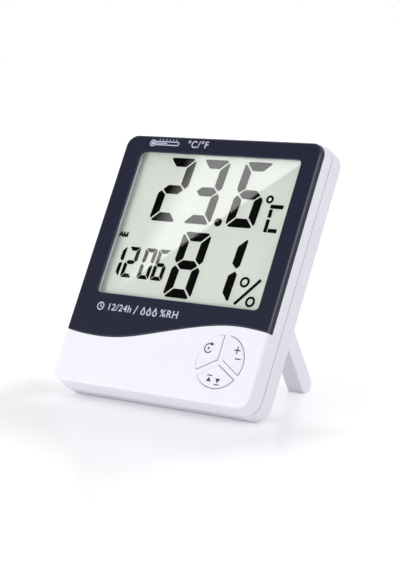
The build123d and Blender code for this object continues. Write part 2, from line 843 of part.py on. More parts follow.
def lead(start_x, side):
    """Insulated lead from a contact's tag to the back of the board."""
    end_x, end_z = start_x + side * lead_run, tag_top + lead_rise + lead_climb
    route = [(start_x, cell_depth, tag_top - contact_tag_reach / 2),
             (start_x, cell_depth, tag_top + lead_rise),
             (end_x, cell_depth, end_z), (end_x, board_back, end_z)]
    radii = []
    for before, corner, after in zip(route, route[1:], route[2:]):
        one, two = Vector(corner) - Vector(before), Vector(after) - Vector(corner)
        half_turn = math.radians(one.get_angle(two) / 2)
        radii.append(0.45 * min(one.length, two.length) / math.tan(half_turn))
    print("lead corner radii", [round(radius, 2) for radius in radii])
    path = FilletPolyline(*route, radius=radii)
    start = Plane(origin=route[0], z_dir=Vector(route[1]) - Vector(route[0]))
    return sweep(start * Circle(lead_radius), path=path)


def keyhole_outline(margin):
    x, z = keyhole_place
    entry = Pos(x, z) * Circle(keyhole_radius + margin)
    slot_radius = keyhole_slot_radius + margin
    slot = Pos(x, z + keyhole_rise / 2) * SlotCenterToCenter(keyhole_rise, 2 * slot_radius, rotation=90)
    return entry + slot


def keyhole_pocket(margin):
    """Pocket outline that a screw's head slides up in."""
    x, z = keyhole_place
    width = 2 * (keyhole_radius + margin)
    return Pos(x, z + keyhole_rise / 2) * SlotCenterToCenter(keyhole_rise, width, rotation=90)


def vent_outlines():
    x, z = on_board(vent_place_shares)
    first = x - (vent_count - 1) * vent_pitch / 2
    return [Pos(first + index * vent_pitch, z) * SlotOverall(vent_length, vent_width, rotation=90)
            for index in range(vent_count)]


def buzzer_holes():
    x, z = on_board(buzzer_place_shares)
    places = [(x, z)]
    for index in range(buzzer_hole_count):
        angle = math.radians(360 * index / buzzer_hole_count)
        places.append((x + buzzer_hole_ring * math.cos(angle), z + buzzer_hole_ring * math.sin(angle)))
    return places


def piezo_buzzer():
    return post(on_board(buzzer_place_shares), buzzer_radius, rear_inside - buzzer_thickness, rear_inside)


def rear_shell(body):
    """Rear half of the case with the stand's recess, the battery compartment and the fixings."""
    shell = body & slab(-case_width, case_width, rear_start, case_depth + overrun,
                        -overrun, case_height + overrun)
    cavity = case_outline(side_wall)
    shell -= prism(cavity, rear_start - overrun, rear_inside)
    tongue = case_outline(side_wall - tongue_thickness) - cavity
    shell += prism(tongue, rear_start - tongue_reach - parting_gap, rear_start + overrun)
    shell = add_snap_tabs(shell)
    shell = add_stand_recess(shell)
    for place in shell_screw_places:
        shell += post(place, shell_post_radius, rear_start, rear_inside)
    shell = add_battery_compartment(shell)
    shell = add_rear_fixings(shell)
    for outline in vent_outlines():
        shell -= prism(outline, rear_inside - overrun, case_depth + overrun)
    for place in buzzer_holes():
        shell -= post(place, buzzer_hole_radius, rear_inside, case_depth + overrun)
    for name, place in rear_button_places.items():
        radius = rear_button_radii[name] + rear_button_clearance
        shell -= post(place, radius, rear_inside - overrun, case_depth + overrun)
    return round_rear_edges(shell)


def round_rear_edges(shell):
    """Breaks the sharp edges of the openings in the back, and of the parting line."""
    back = flat_face(shell, case_depth)
    side = shell_screw_places[-1][0] - shell_screw_pocket_radius
    top = shell_screw_heights[-1] + shell_screw_pocket_radius
    openings = [wire for wire in back.inner_wires()
                if wire.center().Z > top or abs(wire.center().X) < side]
    shell = fillet([edge for wire in openings for edge in wire.edges()], edge_round)
    return fillet(flat_face(shell, rear_start).outer_wire().edges(), edge_round)


def add_snap_tabs(shell):
    inside = case_height - side_wall
    low = inside - snap_tab_thickness - snap_tab_clearance
    for side in (-1, 1):
        x = side * snap_tab_offset
        left, right = x - snap_tab_width / 2, x + snap_tab_width / 2
        shell += slab(left, right, rear_start, rear_start + snap_tab_reach, low, inside)
        shell += slab(left, right, rear_start - snap_tab_reach, rear_start + snap_tab_reach,
                      low, inside - snap_tab_clearance)
    return shell


def add_stand_recess(shell):
    left, right = recess_left - stand_recess_wall, recess_right + stand_recess_wall
    tub = slab(left, right, recess_floor - stand_recess_floor, rear_inside, 0,
               recess_top + stand_recess_wall)
    scoop_place = (recess_right, scoop_height)
    scoop_floor = case_depth - scoop_depth
    tub += post(scoop_place, scoop_radius + stand_recess_wall, scoop_floor - stand_recess_wall, rear_inside)
    shell += tub & prism(case_outline(stand_recess_bottom), 0, rear_inside)
    shell -= post(scoop_place, scoop_radius, scoop_floor, case_depth + overrun)
    shell -= slab(recess_left, recess_right, recess_floor, case_depth + overrun,
                  stand_recess_bottom, recess_top)
    return shell - stand_pin()


def add_battery_compartment(shell):
    wall = compartment_wall
    tub = slab(inner_left - wall, inner_right + wall, inner_floor - wall, rear_inside,
               inner_low - wall, inner_high + wall)
    margin = door_seat_margin
    seat = slab(door_left - margin, door_right + margin, door_seat - door_seat_thickness, rear_inside,
                door_low - margin, door_high + margin)
    groove = door_barrel_radius + door_barrel_gap
    bead = rod(door_left - margin, door_right + margin, groove + margin, *door_axis)
    bead &= slab(-case_width, case_width, inner_floor, rear_inside, 0, case_height)
    shell += tub + seat + bead
    shell -= slab(inner_left, inner_right, inner_floor, case_depth + overrun, inner_low, inner_high)
    shell -= slab(door_left - door_gap, door_right + door_gap, door_seat, case_depth + overrun,
                  door_low - door_gap, door_high + door_gap)
    shell -= rod(door_left - door_gap, door_right + door_gap, groove, *door_axis)
    lug = door_lug_length + door_lug_clearance
    shell -= rod(door_left - lug, door_right + lug, door_lug_radius + door_lug_clearance, *door_axis)
    notch_place = ((door_left + door_right) / 2, door_high)
    shell -= post(notch_place, door_notch_radius, case_depth - door_notch_depth, case_depth + overrun)
    half = contact_tag_width / 2 + contact_tag_clearance
    for left in (inner_left, inner_right - contact_thickness):
        shell -= slab(left - contact_tag_clearance, left + contact_thickness + contact_tag_clearance,
                      cell_depth - half, cell_depth + half,
                      inner_high - contact_thickness, inner_high + wall)
    return shell


def add_rear_fixings(shell):
    """Screw pockets and the keyhole hanger."""
    for place in shell_screw_places:
        shell -= post(place, shell_screw_pocket_radius, shell_screw_seat_depth, case_depth + overrun)
        shell -= post(place, shell_screw_radius + screw_clearance, rear_start - overrun, case_depth)
    floor = rear_inside - keyhole_pocket_depth
    shell += prism(keyhole_pocket(keyhole_pocket_margin + compartment_wall),
                   floor - compartment_wall, rear_inside)
    shell -= prism(keyhole_pocket(keyhole_pocket_margin), floor, rear_inside)
    return shell - prism(keyhole_outline(0), floor, case_depth + overrun)


def make_pieces():
    body = outer_body()
    pieces = {
        "front_shell": front_shell(body),
        "face_panel": face_panel(body),
        "window_lens": window_lens(),
        "display_glass": display_glass(),
        "display_marks": display_marks(),
        "display_reflector": display_reflector(),
        "display_frame": display_frame(),
        "zebra_connector": zebra_connector(),
        "circuit_board": circuit_board(),
        "board_screws": board_screws(),
        "chip_blob": chip_blob(),
        "clock_crystal": clock_crystal(),
        "board_capacitors": board_capacitors(),
        "thermistor": thermistor(),
        "humidity_sensor": humidity_sensor(),
        "button_membrane": button_membrane(),
        "rear_switches": rear_switches(),
        "rear_shell": rear_shell(body),
        "shell_screws": shell_screws(),
        "piezo_buzzer": piezo_buzzer(),
        "stand_leg": stand_leg(),
        "stand_pin": stand_pin(),
        "battery_door": battery_door(),
        "battery_cell": battery_cell(),
        "battery_minus_contact": battery_minus_contact(),
        "battery_plus_contact": battery_plus_contact(),
        "battery_minus_lead": lead(inner_left + contact_thickness + lead_radius, 1),
        "battery_plus_lead": lead(inner_right - contact_thickness - lead_radius, -1),
    }
    for name, angle in button_angles.items():
        pieces[name] = front_button(angle)
    for name in rear_button_places:
        pieces[name] = rear_button(name)
    return pieces


def settle(pieces):
    """Leans every piece back onto the stand and centres the footprint on the origin."""
    lean = Rot(-lean_angle, 0, 0)
    leaned = {name: lean * piece for name, piece in pieces.items()}
    boxes = [piece.bounding_box() for piece in leaned.values()]
    low = min(box.min.Z for box in boxes)
    front = min(box.min.Y for box in boxes)
    back = max(box.max.Y for box in boxes)
    left = min(box.min.X for box in boxes)
    right = max(box.max.X for box in boxes)
    shift = Pos(-(left + right) / 2, -(front + back) / 2, -low)
    return {name: shift * piece for name, piece in leaned.items()}, shift * lean


def print_places(placing):
    """Prints the joints' and mounts' places and directions after leaning, for the record."""
    def placed(name, point):
        moved = placing * Pos(*point)
        print(name, [round(value, 4) for value in tuple(moved.position)])

    placed("stand axis", (stand_centre_x, stand_axis_depth, stand_axis_height))
    placed("door axis", ((door_left + door_right) / 2, *door_axis))
    for name, angle in button_angles.items():
        x, z = stem_place(angle)
        placed(name, (x, -button_proud, z))
    for name, (x, z) in rear_button_places.items():
        placed(name, (x, case_depth, z))
    x, z = keyhole_place
    placed("keyhole mouth", (x, case_depth, z))
    placed("keyhole inside", (x, rear_inside, z))
    placed("back face", (0, case_depth, case_height / 2))
    placed("case front lower edge", (0, 0, 0))
    print("lean", round(lean_angle, 4))
    print("sine and cosine of the lean", round(math.sin(math.radians(lean_angle)), 6),
          round(math.cos(math.radians(lean_angle)), 6))


os.makedirs("parts", exist_ok=True)
placed_pieces, placing = settle(make_pieces())
for name, piece in placed_pieces.items():
    export_step(piece, os.path.join("parts", name + ".step"))
print_places(placing)
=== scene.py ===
"""Finishes, markings, fixings and studio for the leaning desk clock."""
import math

import bmesh
import bpy
from bpy.props import FloatProperty, FloatVectorProperty, IntProperty, PointerProperty
from mathutils import Matrix, Vector


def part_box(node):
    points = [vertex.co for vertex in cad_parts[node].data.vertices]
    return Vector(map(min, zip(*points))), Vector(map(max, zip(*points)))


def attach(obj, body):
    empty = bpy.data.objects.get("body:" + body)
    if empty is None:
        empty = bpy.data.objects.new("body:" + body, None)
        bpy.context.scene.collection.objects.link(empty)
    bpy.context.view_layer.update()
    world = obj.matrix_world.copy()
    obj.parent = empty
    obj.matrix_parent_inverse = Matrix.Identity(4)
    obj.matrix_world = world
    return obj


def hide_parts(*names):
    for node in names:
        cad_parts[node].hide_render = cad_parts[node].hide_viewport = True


bl_info = {
    "name": "Thermometer Hygrometer Clock",
    "version": (1, 0, 0),
    "blender": (4, 5, 0),
    "location": "View3D > Sidebar > Clock",
    "description": "Dresses the packed desk clock with finishes, markings, screws and a studio",
    "category": "Object",
}

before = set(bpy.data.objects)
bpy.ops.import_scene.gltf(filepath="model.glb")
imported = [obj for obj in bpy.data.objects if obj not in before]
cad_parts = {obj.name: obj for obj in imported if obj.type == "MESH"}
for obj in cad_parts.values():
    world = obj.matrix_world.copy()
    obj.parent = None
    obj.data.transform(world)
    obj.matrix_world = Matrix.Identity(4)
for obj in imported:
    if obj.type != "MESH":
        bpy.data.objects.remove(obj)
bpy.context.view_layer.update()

MM = 0.001

# The case leans back on its leg: its own axes are X right, Y from the front face to the back and
# Z up along the case, and this turns them into the world.
LEAN_SINE, LEAN_COSINE = 0.473203, 0.880954
CASE_ORIGIN_Y, CASE_ORIGIN_Z = -0.0358822, 0.0062963
CASE_TO_WORLD = Matrix((
    (1.0, 0.0, 0.0, 0.0),
    (0.0, LEAN_COSINE, LEAN_SINE, CASE_ORIGIN_Y),
    (0.0, -LEAN_SINE, LEAN_COSINE, CASE_ORIGIN_Z),
    (0.0, 0.0, 0.0, 1.0)))

# Sizes of the case, in millimetres of its own axes; a face's depth is its Y
CASE_WIDTH, CASE_HEIGHT, CASE_DEPTH = 98.0, 110.0, 16.0
FRONT_DRAW_IN, FRONT_EDGE_RADIUS, PARTING_DEPTH = 1.5, 1.0, 6.4
PANEL_FACE, BUTTON_FACE, LENS_FACE = 0.0, -0.5, 0.9

# Screws: X and Z of each, the Y of their seat, and their sizes, in millimetres
SHELL_SCREWS = [(-43.0, 6.4), (43.0, 6.4), (-43.0, 29.6), (43.0, 29.6)]
SHELL_SCREW_SEAT = 8.2
SHELL_SCREW_SIZES = {"Head Radius": 1.9, "Head Height": 1.3, "Shank Radius": 1.1, "Shank Length": 5.6,
                     "Thread Pitch": 0.9, "Thread Depth": 0.2, "Cross Width": 0.6}
BOARD_SCREWS = [(-37.5, 31.3), (11.88, 31.3), (37.5, 31.3), (17.7, 8.1)]
BOARD_SCREW_SEAT = 7.1
BOARD_SCREW_SIZES = {"Head Radius": 1.7, "Head Height": 1.0, "Shank Radius": 0.8, "Shank Length": 3.4,
                     "Thread Pitch": 0.7, "Thread Depth": 0.15, "Cross Width": 0.5}
SCREW_SEED = 7

# Shares of a screw's head height, head radius, shank length and thread depth
RIM_HEIGHT, DOME_HEIGHT = 0.45, 0.55
CROSS_REACH, CROSS_HEIGHT, CROSS_RISE = 1.25, 1.2, 1.1
THREAD_LENGTH, THREAD_DROP, THREAD_SINK = 0.94, 0.98, 1.1
HEAD_SIDES, SHANK_SIDES, RIDGE_SIDES = 40, 24, 6

# Signs set in type: name, text, size, and X and Z of the middle, in millimetres
PANEL_SIGNS = (("degree_sign", "°C/°F", 4.2, -11.2, 105.2), ("hours_sign", "12/24h", 4.0, -24.6, 33.6),
               ("percent_sign", "%RH", 4.2, 0.2, 33.6))
BACK_SIGNS = (("unit_mark", "°C/°F", 3.4, -30.1, 70.6), ("reset_mark", "RESET", 2.6, -30.1, 57.6))
PRINT_BOLD, LETTER_SPACE = 0.06, 1.12

# Drawn signs: X and Z of each place, in millimetres
THERMOMETER_PLACE = (-33.9, 105.25)
CLOCK_FACE_PLACE = (-34.2, 33.7)
SLASH_ENDS = ((-16.9, 32.1), (-15.8, 35.3))
DROP_PLACES = ((-12.6, 33.1), (-9.7, 33.1), (-6.8, 33.1))
BUTTON_CENTRE = (29.9, 17.85)
DOOR_ARROW_PLACE = (-12.25, 10.2)

# Each shape of a drawn sign is thicker than the last by this, so that no two faces coincide
LAYER_STEP = 0.001
MERGE_DISTANCE = 1e-5

# Colours that the sidebar doesn't offer, in linear light
GREY_PLASTIC = (0.32, 0.33, 0.37)
PAD_RUBBER = (0.085, 0.085, 0.095)
REFLECTOR_FOIL = (0.62, 0.66, 0.61)
BLACK_RESIN = (0.014, 0.014, 0.015)
SENSOR_BOX = (0.80, 0.81, 0.80)
BRIGHT_STEEL = (0.68, 0.68, 0.69)
BRASS_DISC = (0.75, 0.56, 0.26)
ZINC = (0.60, 0.60, 0.58)
BLACK_SLEEVE = (0.02, 0.02, 0.02)
RED_SLEEVE = (0.45, 0.02, 0.02)
BUTTON_PRINT = (0.05, 0.05, 0.055)
MASKED_COPPER = (0.035, 0.24, 0.085)
TINNED_VIA = (0.55, 0.52, 0.45)
COPPER_BAND = (0.62, 0.33, 0.14)
CELL_STEEL = (0.72, 0.72, 0.72)
CLEAR_ACRYLIC = (0.985, 0.99, 0.985)
PALE_FLOOR = (0.97, 0.97, 0.975)
SKY_TINT = (0.98, 0.985, 1.0)
WHITE = (1.0, 1.0, 1.0)

# Lengths of the battery cell's copper band and bare ends, in metres
CELL_BAND, CELL_PLUS_END, CELL_MINUS_END = 0.0100, 0.0016, 0.0005

# Camera, in millimetres of the case's axes, and its turn
CAMERA_PLACE = (389.93, -494.20, -110.21)
CAMERA_TURN = (1.18259733, 0.608786971, -0.304658749)
CAMERA_LENS, SENSOR_WIDTH, CLIP_START = 105.55, 36.0, 0.01

# The beam in the window, in millimetres of the case: X and Z of its corners and of those of the dark
# card around it, how far the two cards are away, and how strongly they glow
BEAM_CORNERS = ((-60.0, 16.1), (80.0, 134.7), (41.2, 180.5), (-98.8, 61.9))
FLAG_CORNERS = ((-160.0, -60.0), (160.0, -60.0), (160.0, 230.0), (-160.0, 230.0))
CARD_REACH, FLAG_REACH = 420.0, 460.0
BEAM_GLOW, FLAG_GLOW = 2.5, 0.02
# The beam's fade over X and Z of the case, 0 where it is full and 1 where it ends
BEAM_FADE = (-0.0792, 0.0207, -2.392)

# Cards that the panel's edges mirror: name, turns of the edge in degrees, ends along it in
# millimetres, whether it stands upright, and the glow at each end
EDGE_CARDS = (("edge_card", (2.0, 46.0), (0.0, 125.0), True, (5.0, 3.0)),
              ("top_card", (2.0, 60.0), (-70.0, 70.0), False, (7.0, 5.0)))
EDGE_FADE_END = 0.8

# Lamps, in metres: name, place, target, width, power, and height as a share of the width
LAMPS = (("key_lamp", (-1.0, -1.33, 0.55), (0.0, 0.0, 0.05), 0.7, 5.2, 1.0),
         ("side_lamp", (1.3, -0.2, 0.6), (0.0, 0.0, 0.05), 0.7, 2.4, 1.0),
         ("low_lamp", (-0.35, -1.2, 0.1), (0.0, 0.0, 0.03), 0.8, 2.6, 0.2),
         ("leg_lamp", (0.8, -1.0, 0.12), (0.03, 0.05, 0.02), 0.4, 2.2, 1.0))
SKY_LIGHT, BACKDROP_LIGHT = 0.80, 1.0

# The floor, in metres. The case stands on a strip of it, from SHADOW_FRONT back. The floor's own glow
# towards the camera is least at SHADOW_REACH around that strip, and most from CLEAR_REACH on. This is a
# painted shade around the case, laid over its real shadow, with a little painted light on the strip
# itself.
FLOOR_REACH = 6.0
SHADOW_HALF_WIDTH, SHADOW_FRONT, SIDE_WEIGHT = 0.045, -0.03, 2.0
SHADOW_REACH, CLEAR_REACH = 0.03, 0.11
GLOW_NEAR, GLOW_FAR, GLOW_BEHIND, GLOW_BASE = 0.07, 0.24, 0.17, 0.05


def colour_choice(name, description, default):
    return FloatVectorProperty(name=name, description=description, subtype="COLOR", size=3,
                               min=0.0, max=1.0, default=default)


def length_choice(name, description, default):
    return FloatProperty(name=name, description=description, unit="LENGTH", min=0.0, default=default)


class ClockColours(bpy.types.PropertyGroup):
    """Colours of the clock's finishes, in linear light."""
    white: colour_choice("White plastic", "Case, leg and battery door", (0.86, 0.86, 0.93))
    panel: colour_choice("Panel", "Dark polished face panel", (0.012, 0.014, 0.034))
    film: colour_choice("Display film", "Pale film of the display", (0.630, 0.664, 0.611))
    ink: colour_choice("Display figures", "Dark figures of the display", (0.003, 0.003, 0.003))
    print: colour_choice("Panel print", "Pale symbols printed on the panel", (0.55, 0.55, 0.69))
    board: colour_choice("Circuit board", "Green solder mask", (0.02, 0.15, 0.06))
    jacket: colour_choice("Cell jacket", "Plain jacket of the battery cell", (0.035, 0.14, 0.30))


class ClockSizes(bpy.types.PropertyGroup):
    """Sizes of the pieces that are made here, in metres."""
    print_thickness: length_choice("Print thickness", "How far printed ink stands proud", 0.00003)
    raised_mark: length_choice("Raised mark", "How far moulded marks stand proud", 0.00015)
    screw_head: length_choice("Screw head", "Radius of a case screw's head", 0.0019)
    cross_width: length_choice("Cross width", "Width of the cross recess in a screw", 0.0006)
    scatter_seed: IntProperty(name="Seed", description="Fixed seed of the screws' turns",
                              default=SCREW_SEED)


# Small helpers

def put_in_scene(obj):
    bpy.context.scene.collection.objects.link(obj)
    return obj


def dress(obj, material, body, replaces=()):
    """Gives a new piece its material and the body it rides on."""
    obj.data.materials.clear()
    obj.data.materials.append(material)
    if replaces:
        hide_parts(*replaces)
    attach(obj, body)


def finish_nodes(material, *names):
    """Gives CAD nodes a material."""
    for name in names:
        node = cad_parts[name]
        if not node.material_slots:
            node.data.materials.append(material)
        for place in node.material_slots:
            place.material = material


def light_only(obj, node_name):
    """Lets a lamp or card light one CAD node only."""
    only = bpy.data.collections.new("lit_by_" + obj.name)
    only.objects.link(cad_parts[node_name])
    obj.light_linking.receiver_collection = only


def evaluated_mesh(obj, name):
    """The mesh of an object with its modifiers worked out."""
    depsgraph = bpy.context.evaluated_depsgraph_get()
    mesh = bpy.data.meshes.new_from_object(obj.evaluated_get(depsgraph))
    mesh.name = name
    return mesh


def mesh_object(name, mesh):
    return put_in_scene(bpy.data.objects.new(name, mesh))


def sheet_mesh(name, corners):
    """A flat mesh with one face."""
    mesh = bpy.data.meshes.new(name)
    mesh.from_pydata(corners, [], [(0, 1, 2, 3)])
    return mesh


def in_case(mesh):
    """Turns a mesh from the case's axes, in metres, into the world."""
    mesh.transform(CASE_TO_WORLD)
    return mesh


# Flat marks: loops of points in millimetres, filled by the even-odd rule

def around(centre, radius, angle):
    """The point of a circle at an angle in radians."""
    return centre[0] + radius * math.cos(angle), centre[1] + radius * math.sin(angle)


def circle_loop(centre, radius, steps=40):
    return [around(centre, radius, 2 * math.pi * i / steps) for i in range(steps)]


def ring(centre, radius, width):
    return [circle_loop(centre, radius), circle_loop(centre, radius - width)]


def disc(centre, radius):
    return [circle_loop(centre, radius)]


def bar(start, end, width, steps=8):
    """A straight stroke with round ends."""
    along = math.atan2(end[1] - start[1], end[0] - start[0])
    return [[around(centre, width / 2, along + turn + math.pi * i / steps)
             for centre, turn in ((end, -math.pi / 2), (start, math.pi / 2)) for i in range(steps + 1)]]


def arc(centre, radius, width, start, end, steps=32):
    """A curved stroke, from one angle to another in degrees."""
    angles = [math.radians(start + (end - start) * i / steps) for i in range(steps + 1)]
    outer = [around(centre, radius, angle) for angle in angles]
    inner = [around(centre, radius - width, angle) for angle in angles]
    return [outer + inner[::-1]]


def drop(centre, radius, height, steps=24):
    """A water drop: round below and drawn to a point above."""
    lean = math.acos(radius / height)
    points = [(centre[0], centre[1] + height)]
    for i in range(steps + 1):
        points.append(around(centre, radius, math.pi / 2 + lean + (2 * math.pi - 2 * lean) * i / steps))
    return points


def polygon(*points):
    return [list(points)]


def mark_mesh(name, shapes, thickness):
    """Fills flat shapes and gives them a thickness, drawn in X and Y in millimetres."""
    made = bmesh.new()
    for index, loops in enumerate(shapes):
        curve = bpy.data.curves.new(name, "CURVE")
        curve.dimensions = "2D"
        curve.fill_mode = "BOTH"
        curve.extrude = (thickness / MM + LAYER_STEP * index) / 2
        for loop in loops:
            spline = curve.splines.new("POLY")
            spline.points.add(len(loop) - 1)
            for point, (x, y) in zip(spline.points, loop):
                point.co = (x, y, 0.0, 1.0)
            spline.use_cyclic_u = True
        holder = put_in_scene(bpy.data.objects.new(name, curve))
        mesh = evaluated_mesh(holder, name)
        made.from_mesh(mesh)
        bpy.data.objects.remove(holder)
        bpy.data.meshes.remove(mesh)
    mesh = bpy.data.meshes.new(name)
    bmesh.ops.remove_doubles(made, verts=made.verts, dist=MERGE_DISTANCE)
    bmesh.ops.recalc_face_normals(made, faces=made.faces)
    made.to_mesh(mesh)
    made.free()
    return mesh


def text_shape_mesh(name, text, size, thickness, bold=0.0):
    """A generic sign set in the built-in type, in millimetres."""
    curve = bpy.data.curves.new(name, "FONT")
    curve.body = text
    curve.size = size
    curve.align_x = "CENTER"
    curve.align_y = "CENTER"
    curve.extrude = thickness / MM / 2
    curve.offset = bold
    curve.space_character = LETTER_SPACE
    holder = put_in_scene(bpy.data.objects.new(name, curve))
    mesh = evaluated_mesh(holder, name)
    bpy.data.objects.remove(holder)
    return mesh


def lay_on_front(mesh, depth, proud):
    """Stands a flat mesh on the front, lifted from a depth by a height, in millimetres."""
    for vertex in mesh.vertices:
        x, z, height = vertex.co
        vertex.co = Vector((x * MM, (depth - height - proud) * MM, z * MM))
    return in_case(mesh)


def lay_on_back(mesh, x, z):
    """Stands a flat mesh on the back at a place in millimetres, readable from behind."""
    for vertex in mesh.vertices:
        co = vertex.co
        vertex.co = Vector(((x - co.x) * MM, (CASE_DEPTH + co.z) * MM, (z + co.y) * MM))
    return in_case(mesh)


# Nodes

def feed(tree, socket, value):
    """Links a socket to another one, or sets its value. None leaves it as it is."""
    if isinstance(value, bpy.types.NodeSocket):
        tree.links.new(value, socket)
    elif value is not None:
        socket.default_value = value


def new_node(tree, kind, **inputs):
    """A node with its inputs linked or set; an underscore stands for a space."""
    node = tree.nodes.new(kind)
    for label, value in inputs.items():
        feed(tree, node.inputs[label.replace("_", " ")], value)
    return node


def emptied_tree(owner):
    """The node tree of a material or a world, with nothing in it."""
    owner.use_nodes = True
    owner.node_tree.nodes.clear()
    return owner.node_tree


def math_node(tree, operation, one, two=None):
    node = tree.nodes.new("ShaderNodeMath")
    node.operation = operation
    for socket, value in zip(node.inputs, (one, two)):
        feed(tree, socket, value)
    return node.outputs[0]


def noise_node(tree, vector, scale, detail=2.0, roughness=0.5):
    return new_node(tree, "ShaderNodeTexNoise", Vector=vector, Scale=scale, Detail=detail,
                    Roughness=roughness).outputs["Fac"]


def ramp_node(tree, value, low, high, smooth=False):
    """Stretches a value from low to high over 0 to 1."""
    node = new_node(tree, "ShaderNodeMapRange", Value=value, From_Min=low, From_Max=high)
    if smooth:
        node.interpolation_type = "SMOOTHSTEP"
    return node.outputs["Result"]


def spread(tree, value, low, high):
    """Turns a mask of 0 to 1 into a value from low to high."""
    return new_node(tree, "ShaderNodeMapRange", Value=value, To_Min=low, To_Max=high).outputs["Result"]


def bump_node(tree, height, strength, distance):
    return new_node(tree, "ShaderNodeBump", Strength=strength, Distance=distance,
                    Height=height).outputs["Normal"]


def axes_of(tree, vector):
    """The X, Y and Z of a vector."""
    return new_node(tree, "ShaderNodeSeparateXYZ", Vector=vector).outputs


def rgba(colour):
    return (*colour, 1.0)


def blend_colours(tree, factor, one, two):
    """Goes from one colour to another by a mask. Each is a socket or a tuple."""
    node = tree.nodes.new("ShaderNodeMix")
    node.data_type = "RGBA"
    tree.links.new(factor, node.inputs["Factor"])
    for label, value in (("A", one), ("B", two)):
        feed(tree, node.inputs[label], rgba(value) if isinstance(value, tuple) else value)
    return node.outputs["Result"]


def choose_shader(tree, factor, one, two, output):
    """Shows one shader where a factor is 0 and the other where it is 1."""
    choice = tree.nodes.new("ShaderNodeMixShader")
    for socket, value in zip(choice.inputs, (factor, one, two)):
        tree.links.new(value, socket)
    tree.links.new(choice.outputs["Shader"], output.inputs["Surface"])


# Shader groups: they give out masks, values and normals only

def new_group(name, inputs, outputs):
    """A shader group that takes a vector and values, with its input and output nodes."""
    group = bpy.data.node_groups.new(name, "ShaderNodeTree")
    group.interface.new_socket(name="Vector", in_out="INPUT", socket_type="NodeSocketVector")
    for label, default in inputs.items():
        socket = group.interface.new_socket(name=label, in_out="INPUT", socket_type="NodeSocketFloat")
        socket.default_value = default
    for label in outputs:
        kind = "NodeSocketVector" if label == "Normal" else "NodeSocketFloat"
        group.interface.new_socket(name=label, in_out="OUTPUT", socket_type=kind)
    return group, group.nodes.new("NodeGroupInput"), group.nodes.new("NodeGroupOutput")


def give_out(group, out, **values):
    for label, value in values.items():
        group.links.new(value, out.inputs[label])
    return group


def moulded_group():
    """Moulded plastic: a fine spark grain, slow waviness and handling clouds."""
    group, given, out = new_group(
        "moulded_surface", {"Grain Scale": 5200.0, "Grain Strength": 0.12, "Cloud Scale": 38.0},
        ("Normal", "Clouds", "Specks"))
    vector = given.outputs["Vector"]
    grain = noise_node(group, vector, given.outputs["Grain Scale"], detail=3.0, roughness=0.6)
    waves = noise_node(group, vector, scale=60.0, detail=1.0)
    height = math_node(group, "ADD", grain, math_node(group, "MULTIPLY", waves, 1.6))
    normal = bump_node(group, height, given.outputs["Grain Strength"], distance=0.00003)
    clouds = noise_node(group, vector, given.outputs["Cloud Scale"], detail=4.0, roughness=0.6)
    specks = noise_node(group, vector, scale=900.0, detail=1.0)
    return give_out(group, out, Normal=normal, Clouds=ramp_node(group, clouds, low=0.35, high=0.7),
                    Specks=ramp_node(group, specks, low=0.70, high=0.82))


def drawn_group():
    """Drawn or plated metal: fine lines along one axis."""
    group, given, out = new_group("drawn_metal", {"Line Scale": 2600.0}, ("Normal", "Lines"))
    mapping = new_node(group, "ShaderNodeMapping", Vector=given.outputs["Vector"], Scale=(0.04, 1.0, 1.0))
    lines = noise_node(group, mapping.outputs["Vector"], given.outputs["Line Scale"],
                       detail=3.0, roughness=0.7)
    return give_out(group, out, Normal=bump_node(group, lines, strength=0.25, distance=0.00002),
                    Lines=ramp_node(group, lines, low=0.3, high=0.7))


def film_group():
    """Polariser film: a very fine sparkle and slow unevenness."""
    group, given, out = new_group("film_surface", {}, ("Normal", "Tone"))
    vector = given.outputs["Vector"]
    sparkle = noise_node(group, vector, scale=9000.0, detail=1.0)
    slow = noise_node(group, vector, scale=22.0, detail=2.0)
    tone = math_node(group, "ADD", math_node(group, "MULTIPLY", sparkle, 0.35),
                     math_node(group, "MULTIPLY", slow, 0.65))
    return give_out(group, out, Normal=bump_node(group, sparkle, strength=0.1, distance=0.00001),
                    Tone=ramp_node(group, tone, low=0.35, high=0.65))


def traces_group():
    """Copper traces under solder mask: blocky lines, and vias."""
    group, given, out = new_group("board_traces", {}, ("Traces", "Vias", "Normal"))
    vector = given.outputs["Vector"]
    cells = new_node(group, "ShaderNodeTexVoronoi", Vector=vector, Scale=260.0, Randomness=0.75)
    cells.distance = "MANHATTAN"
    waves = math_node(group, "SINE", math_node(group, "MULTIPLY", cells.outputs["Distance"], 34.0))
    traces = ramp_node(group, waves, low=0.25, high=0.45)
    dots = new_node(group, "ShaderNodeTexVoronoi", Vector=vector, Scale=230.0)
    vias = math_node(group, "LESS_THAN", dots.outputs["Distance"], 0.13)
    height = math_node(group, "ADD", traces, math_node(group, "MULTIPLY", vias, 1.5))
    return give_out(group, out, Traces=traces, Vias=vias,
                    Normal=bump_node(group, height, strength=0.35, distance=0.00005))


GROUP_MAKERS = {"moulded_surface": moulded_group, "drawn_metal": drawn_group,
                "film_surface": film_group, "board_traces": traces_group}


def use_group(tree, name, vector, **values):
    """A shared shader group, made the first time that it is used."""
    node = tree.nodes.new("ShaderNodeGroup")
    node.node_tree = bpy.data.node_groups.get(name) or GROUP_MAKERS[name]()
    tree.links.new(vector, node.inputs["Vector"])
    for label, value in values.items():
        node.inputs[label.replace("_", " ")].default_value = value
    return node


# Materials

def new_material(name):
    """A material with its tree, its shader and the object's coordinates."""
    material = bpy.data.materials.new(name)
    tree = emptied_tree(material)
    shader = tree.nodes.new("ShaderNodeBsdfPrincipled")
    output = tree.nodes.new("ShaderNodeOutputMaterial")
    tree.links.new(shader.outputs["BSDF"], output.inputs["Surface"])
    coordinates = tree.nodes.new("ShaderNodeTexCoord")
    return material, tree, shader, coordinates.outputs["Object"]


def output_of(tree):
    return next(node for node in tree.nodes if node.type == "OUTPUT_MATERIAL")


